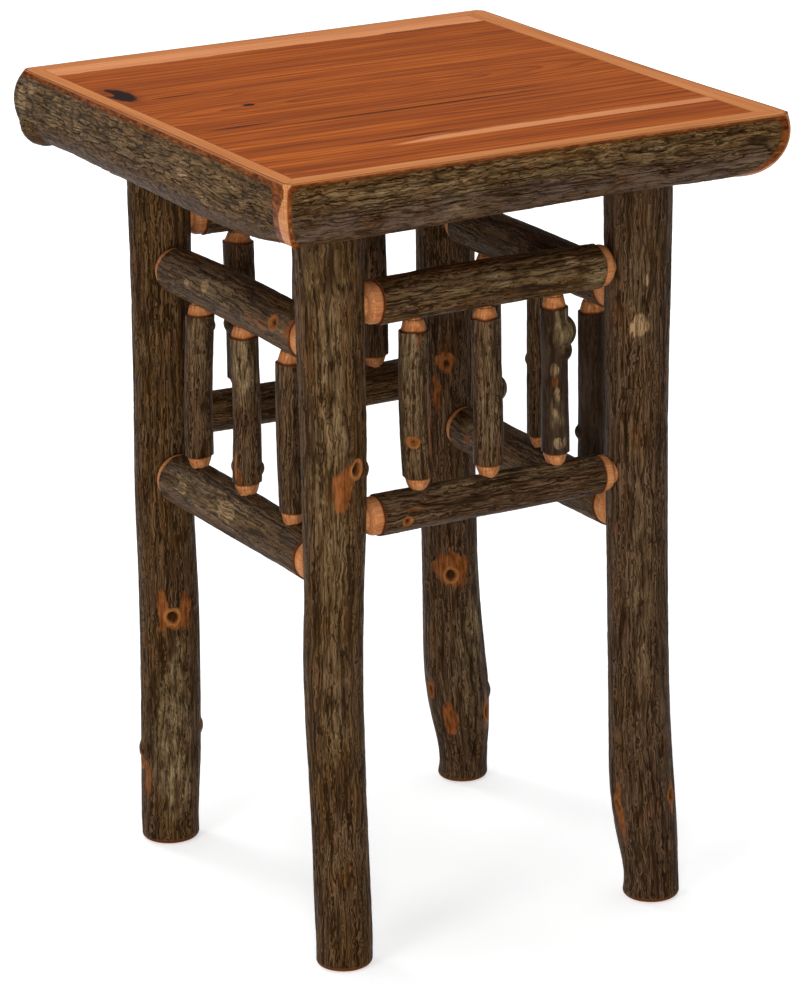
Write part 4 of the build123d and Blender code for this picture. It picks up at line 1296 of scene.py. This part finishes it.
WIDE_BOARD = board_material(
    "top_board_wide", 0.010, 0.004, 0.12, 0.0070, 2.1,
    streaks=(
        (-0.167, 0.0780, 0.024, 0.0022, 0.95),
        (-0.165, -0.0540, 0.038, 0.0030, 0.95),
        (0.040, -0.0520, 0.100, 0.0022, 0.8),
        (0.080, 0.0600, 0.120, 0.0009, 0.5),
    ),
    knots=(BLACK_KNOT, SMALL_KNOT),
)
BACK_BOARD = board_material(
    "top_board_back", 0.42, 0.07, 0.0, 0.011, 3.4,
    sapwood=((0.238, -0.30, -0.29, 0.030, 0.0012, -1),),
    streaks=((0.10, 0.150, 0.10, 0.0010, 0.5),),
    knots=(BLACK_KNOT,),
)
CLEAT_WOOD = cleat_material()
ZINC = screw_material()
for node_name, finish in (
    ("top_board_1", FRONT_BOARD),
    ("top_board_2", SECOND_BOARD),
    ("top_board_3", WIDE_BOARD),
    ("top_board_4", BACK_BOARD),
    ("cleat_left", CLEAT_WOOD),
    ("cleat_right", CLEAT_WOOD),
    ("cleat_screws", ZINC),
    ("edge_log_screws", ZINC),
):
    finish_node(node_name, finish)

# Edge logs: warmth, olive, where the olive ends, the painted sheen band and the painted shade start
# (millimetres down), the seed, then the width and run of the furrows and their depth in millimetres.
for side_name, warmth, olive, depth, sheen_from, shaded, seed, rib, run, relief in (
    ("front", 0.45, 0.85, 32, 34, 52, 901, 3.2, 24, 1.6),
    ("right", 0.55, 0.60, 40, 44, 62, 921, 3.0, 24, 1.2),
    ("back", 0.45, 0.70, 34, 40, 58, 941, 3.2, 28, 1.4),
    ("left", 0.65, 1.00, 70, 96, 38, 961, 2.8, 18, 1.4),
):
    strip_width = STRIP_WIDTHS[side_name]
    bark = edge_log_material(side_name + "_log_bark", strip_width, warmth, olive, depth, sheen_from, shaded)
    wrap_edge_log(side_name, bark, seed, rib * MM, run * MM, relief * MM)

LEG_BARK = pole_material("leg_bark", 0.55, olive=0.06)
DARK_LEG_BARK = pole_material("dark_leg_bark", 0.36)
RAIL_BARK = pole_material("rail_bark", 0.52, olive=0.26)
RUSSET_RAIL_BARK = pole_material("russet_rail_bark", 0.36)
SPINDLE_BARK = pole_material("spindle_bark", 0.38, olive=0.1, cone=0.55)
SMOOTH_BARK = pole_material("smooth_spindle_bark", 0.20, chips=0.15, rough=0.34, cone=0.55)
# Points round a pole, and the depth of its furrows.
LEG_POINTS, LEG_RELIEF = 216, 0.75 * MM
RAIL_POINTS, RAIL_RELIEF = 144, 0.7 * MM
SPINDLE_POINTS, SPINDLE_RELIEF, SMOOTH_RELIEF = 96, 0.5 * MM, 0.18 * MM
SEED_STEP = 20

pole_seed = 100
for corner_name in ("front_left", "front_right", "back_left", "back_right"):
    pole_seed += SEED_STEP
    skin = DARK_LEG_BARK if corner_name in ("front_right", "back_right") else LEG_BARK
    wrap_pole("leg_" + corner_name, LEG_POINTS, skin, LEG_RELIEF, pole_seed)
for side_name in ("front", "back", "left", "right"):
    for level in ("upper", "lower"):
        pole_seed += SEED_STEP
        skin = RUSSET_RAIL_BARK if (side_name, level) == ("front", "lower") else RAIL_BARK
        wrap_pole(f"rail_{side_name}_{level}", RAIL_POINTS, skin, RAIL_RELIEF, pole_seed)
    for number in (1, 2, 3):
        pole_seed += SEED_STEP
        spindle = f"spindle_{side_name}_{number}"
        if spindle in ("spindle_front_3", "spindle_right_1"):
            wrap_pole(spindle, SPINDLE_POINTS, SMOOTH_BARK, SMOOTH_RELIEF, pole_seed)
        else:
            wrap_pole(spindle, SPINDLE_POINTS, SPINDLE_BARK, SPINDLE_RELIEF, pole_seed)


# ---------------------------------------------------------------- studio

FLOOR_REACH = 30.0
FLOOR_DROP = 0.5 * MM
FLOOR_GREY = 0.66
# What the camera sees added to the floor's own light, and the more of it far from the table.
FLOOR_GLOW = 0.52
FAR_GLOW, FAR_GLOW_FROM, FAR_GLOW_TO = 0.4, 0.8, 3.0
# Softboxes: place, height that each is aimed at over the middle of the floor, sizes and watts.
SOFTBOXES = {
    "front_softbox": ((-0.98, -1.84, 0.52), 0.36, 0.40, 1.0, 23),
    "side_softbox": ((-2.2, -1.0, 1.4), 0.42, 0.8, 1.2, 20),
    "back_softbox": ((-0.9, 2.5, 1.9), 0.38, 0.8, 1.2, 22),
    "top_softbox": ((0.1, 0.2, 2.6), 0.5, 1.6, 1.6, 26),
}
CAMERA_YAW, CAMERA_PITCH, CAMERA_ROLL = -28.112194, 17.899762, -1.168493
CAMERA_DISTANCE = 3.6523958
CAMERA_AIM = (0, 0, 0.3555)
AIM_RIGHT, AIM_UP = 0.00030942, -0.00651829
SENSOR_WIDTH = 36.0
FOCAL_PIXELS, LONG_SIDE_PIXELS = 4204.893, 984


def lay_floor():
    """Pale floor that takes the table's shadow and looks white to the camera."""
    reach = FLOOR_REACH
    corners = [(-reach, -reach, 0), (reach, -reach, 0), (reach, reach, 0), (-reach, reach, 0)]
    mesh = bpy.data.meshes.new("studio_floor")
    mesh.from_pydata(corners, [], [(0, 1, 2, 3)])
    floor = bpy.data.objects.new("studio_floor", mesh)
    bpy.context.scene.collection.objects.link(floor)
    floor.location.z = -FLOOR_DROP
    material, b, shader = new_material("studio_floor_white")
    rays = b.put("ShaderNodeLightPath").outputs
    seen = b.math("MAXIMUM", rays["Is Camera Ray"], rays["Is Glossy Ray"])
    seen = b.math("MAXIMUM", seen, rays["Is Transmission Ray"])
    x, y, _ = b.apart(b.solid_place())
    far = b.ease(b.math("SQRT", b.squares(x, y)), FAR_GLOW_FROM, FAR_GLOW_TO, 0.0, FAR_GLOW)
    glow = b.plus(b.times(seen, FLOOR_GLOW), b.times(far, rays["Is Camera Ray"]))
    b.fill(shader, {
        "Base Color": (FLOOR_GREY, FLOOR_GREY, FLOOR_GREY, 1),
        "Roughness": 0.9,
        "Specular IOR Level": 0.1,
        "Emission Color": (1, 1, 1, 1),
        "Emission Strength": glow,
    })
    mesh.materials.append(material)


def light_studio():
    """Soft sky, white to the camera, and four softboxes."""
    world = bpy.data.worlds.new("studio_world")
    bpy.context.scene.world = world
    world.use_nodes = True
    b = Bench(world.node_tree)
    upward = b.apart(b.put("ShaderNodeTexCoord").outputs["Generated"])[2]
    sky = b.spread(upward, 0.05, 0.95, 0.06, 0.70)
    sky = b.math("MAXIMUM", sky, b.put("ShaderNodeLightPath").outputs["Is Camera Ray"])
    background = world.node_tree.nodes["Background"]
    b.fill(background.inputs, {"Strength": sky, "Color": (1, 1, 1, 1)})
    for name, (place, aim_height, width, height, watts) in SOFTBOXES.items():
        light = bpy.data.lights.new(name, "AREA")
        light.shape = "RECTANGLE"
        light.size, light.size_y, light.energy = width, height, watts
        lamp = bpy.data.objects.new(name, light)
        bpy.context.scene.collection.objects.link(lamp)
        lamp.location = place
        lamp.rotation_mode = "QUATERNION"
        aim = Vector((0, 0, aim_height)) - Vector(place)
        lamp.rotation_quaternion = aim.to_track_quat("-Z", "Y")


def aim_camera():
    """Camera at the height, side and distance that the table is best known from."""
    yaw, pitch, roll = (math.radians(a) for a in (CAMERA_YAW, CAMERA_PITCH, CAMERA_ROLL))
    level = math.cos(pitch)
    forward = Vector((-math.sin(yaw) * level, math.cos(yaw) * level, -math.sin(pitch)))
    right = Vector((math.cos(yaw), math.sin(yaw), 0))
    up = right.cross(forward)
    right_rolled = right * math.cos(roll) + up * math.sin(roll)
    up_rolled = -right * math.sin(roll) + up * math.cos(roll)
    target = Vector(CAMERA_AIM) + right_rolled * AIM_RIGHT + up_rolled * AIM_UP
    data = bpy.data.cameras.new("camera")
    data.sensor_width = SENSOR_WIDTH
    data.sensor_fit = "AUTO"
    data.lens = FOCAL_PIXELS * SENSOR_WIDTH / LONG_SIDE_PIXELS
    data.clip_start, data.clip_end = 0.1, 50
    camera = bpy.data.objects.new("camera", data)
    bpy.context.scene.collection.objects.link(camera)
    camera.location = target - forward * CAMERA_DISTANCE
    camera.rotation_mode = "QUATERNION"
    turned = Matrix((right_rolled, up_rolled, -forward)).transposed()
    camera.rotation_quaternion = turned.to_quaternion()
    bpy.context.scene.camera = camera


lay_floor()
light_studio()
aim_camera()
bpy.context.scene.view_settings.view_transform = "Standard"
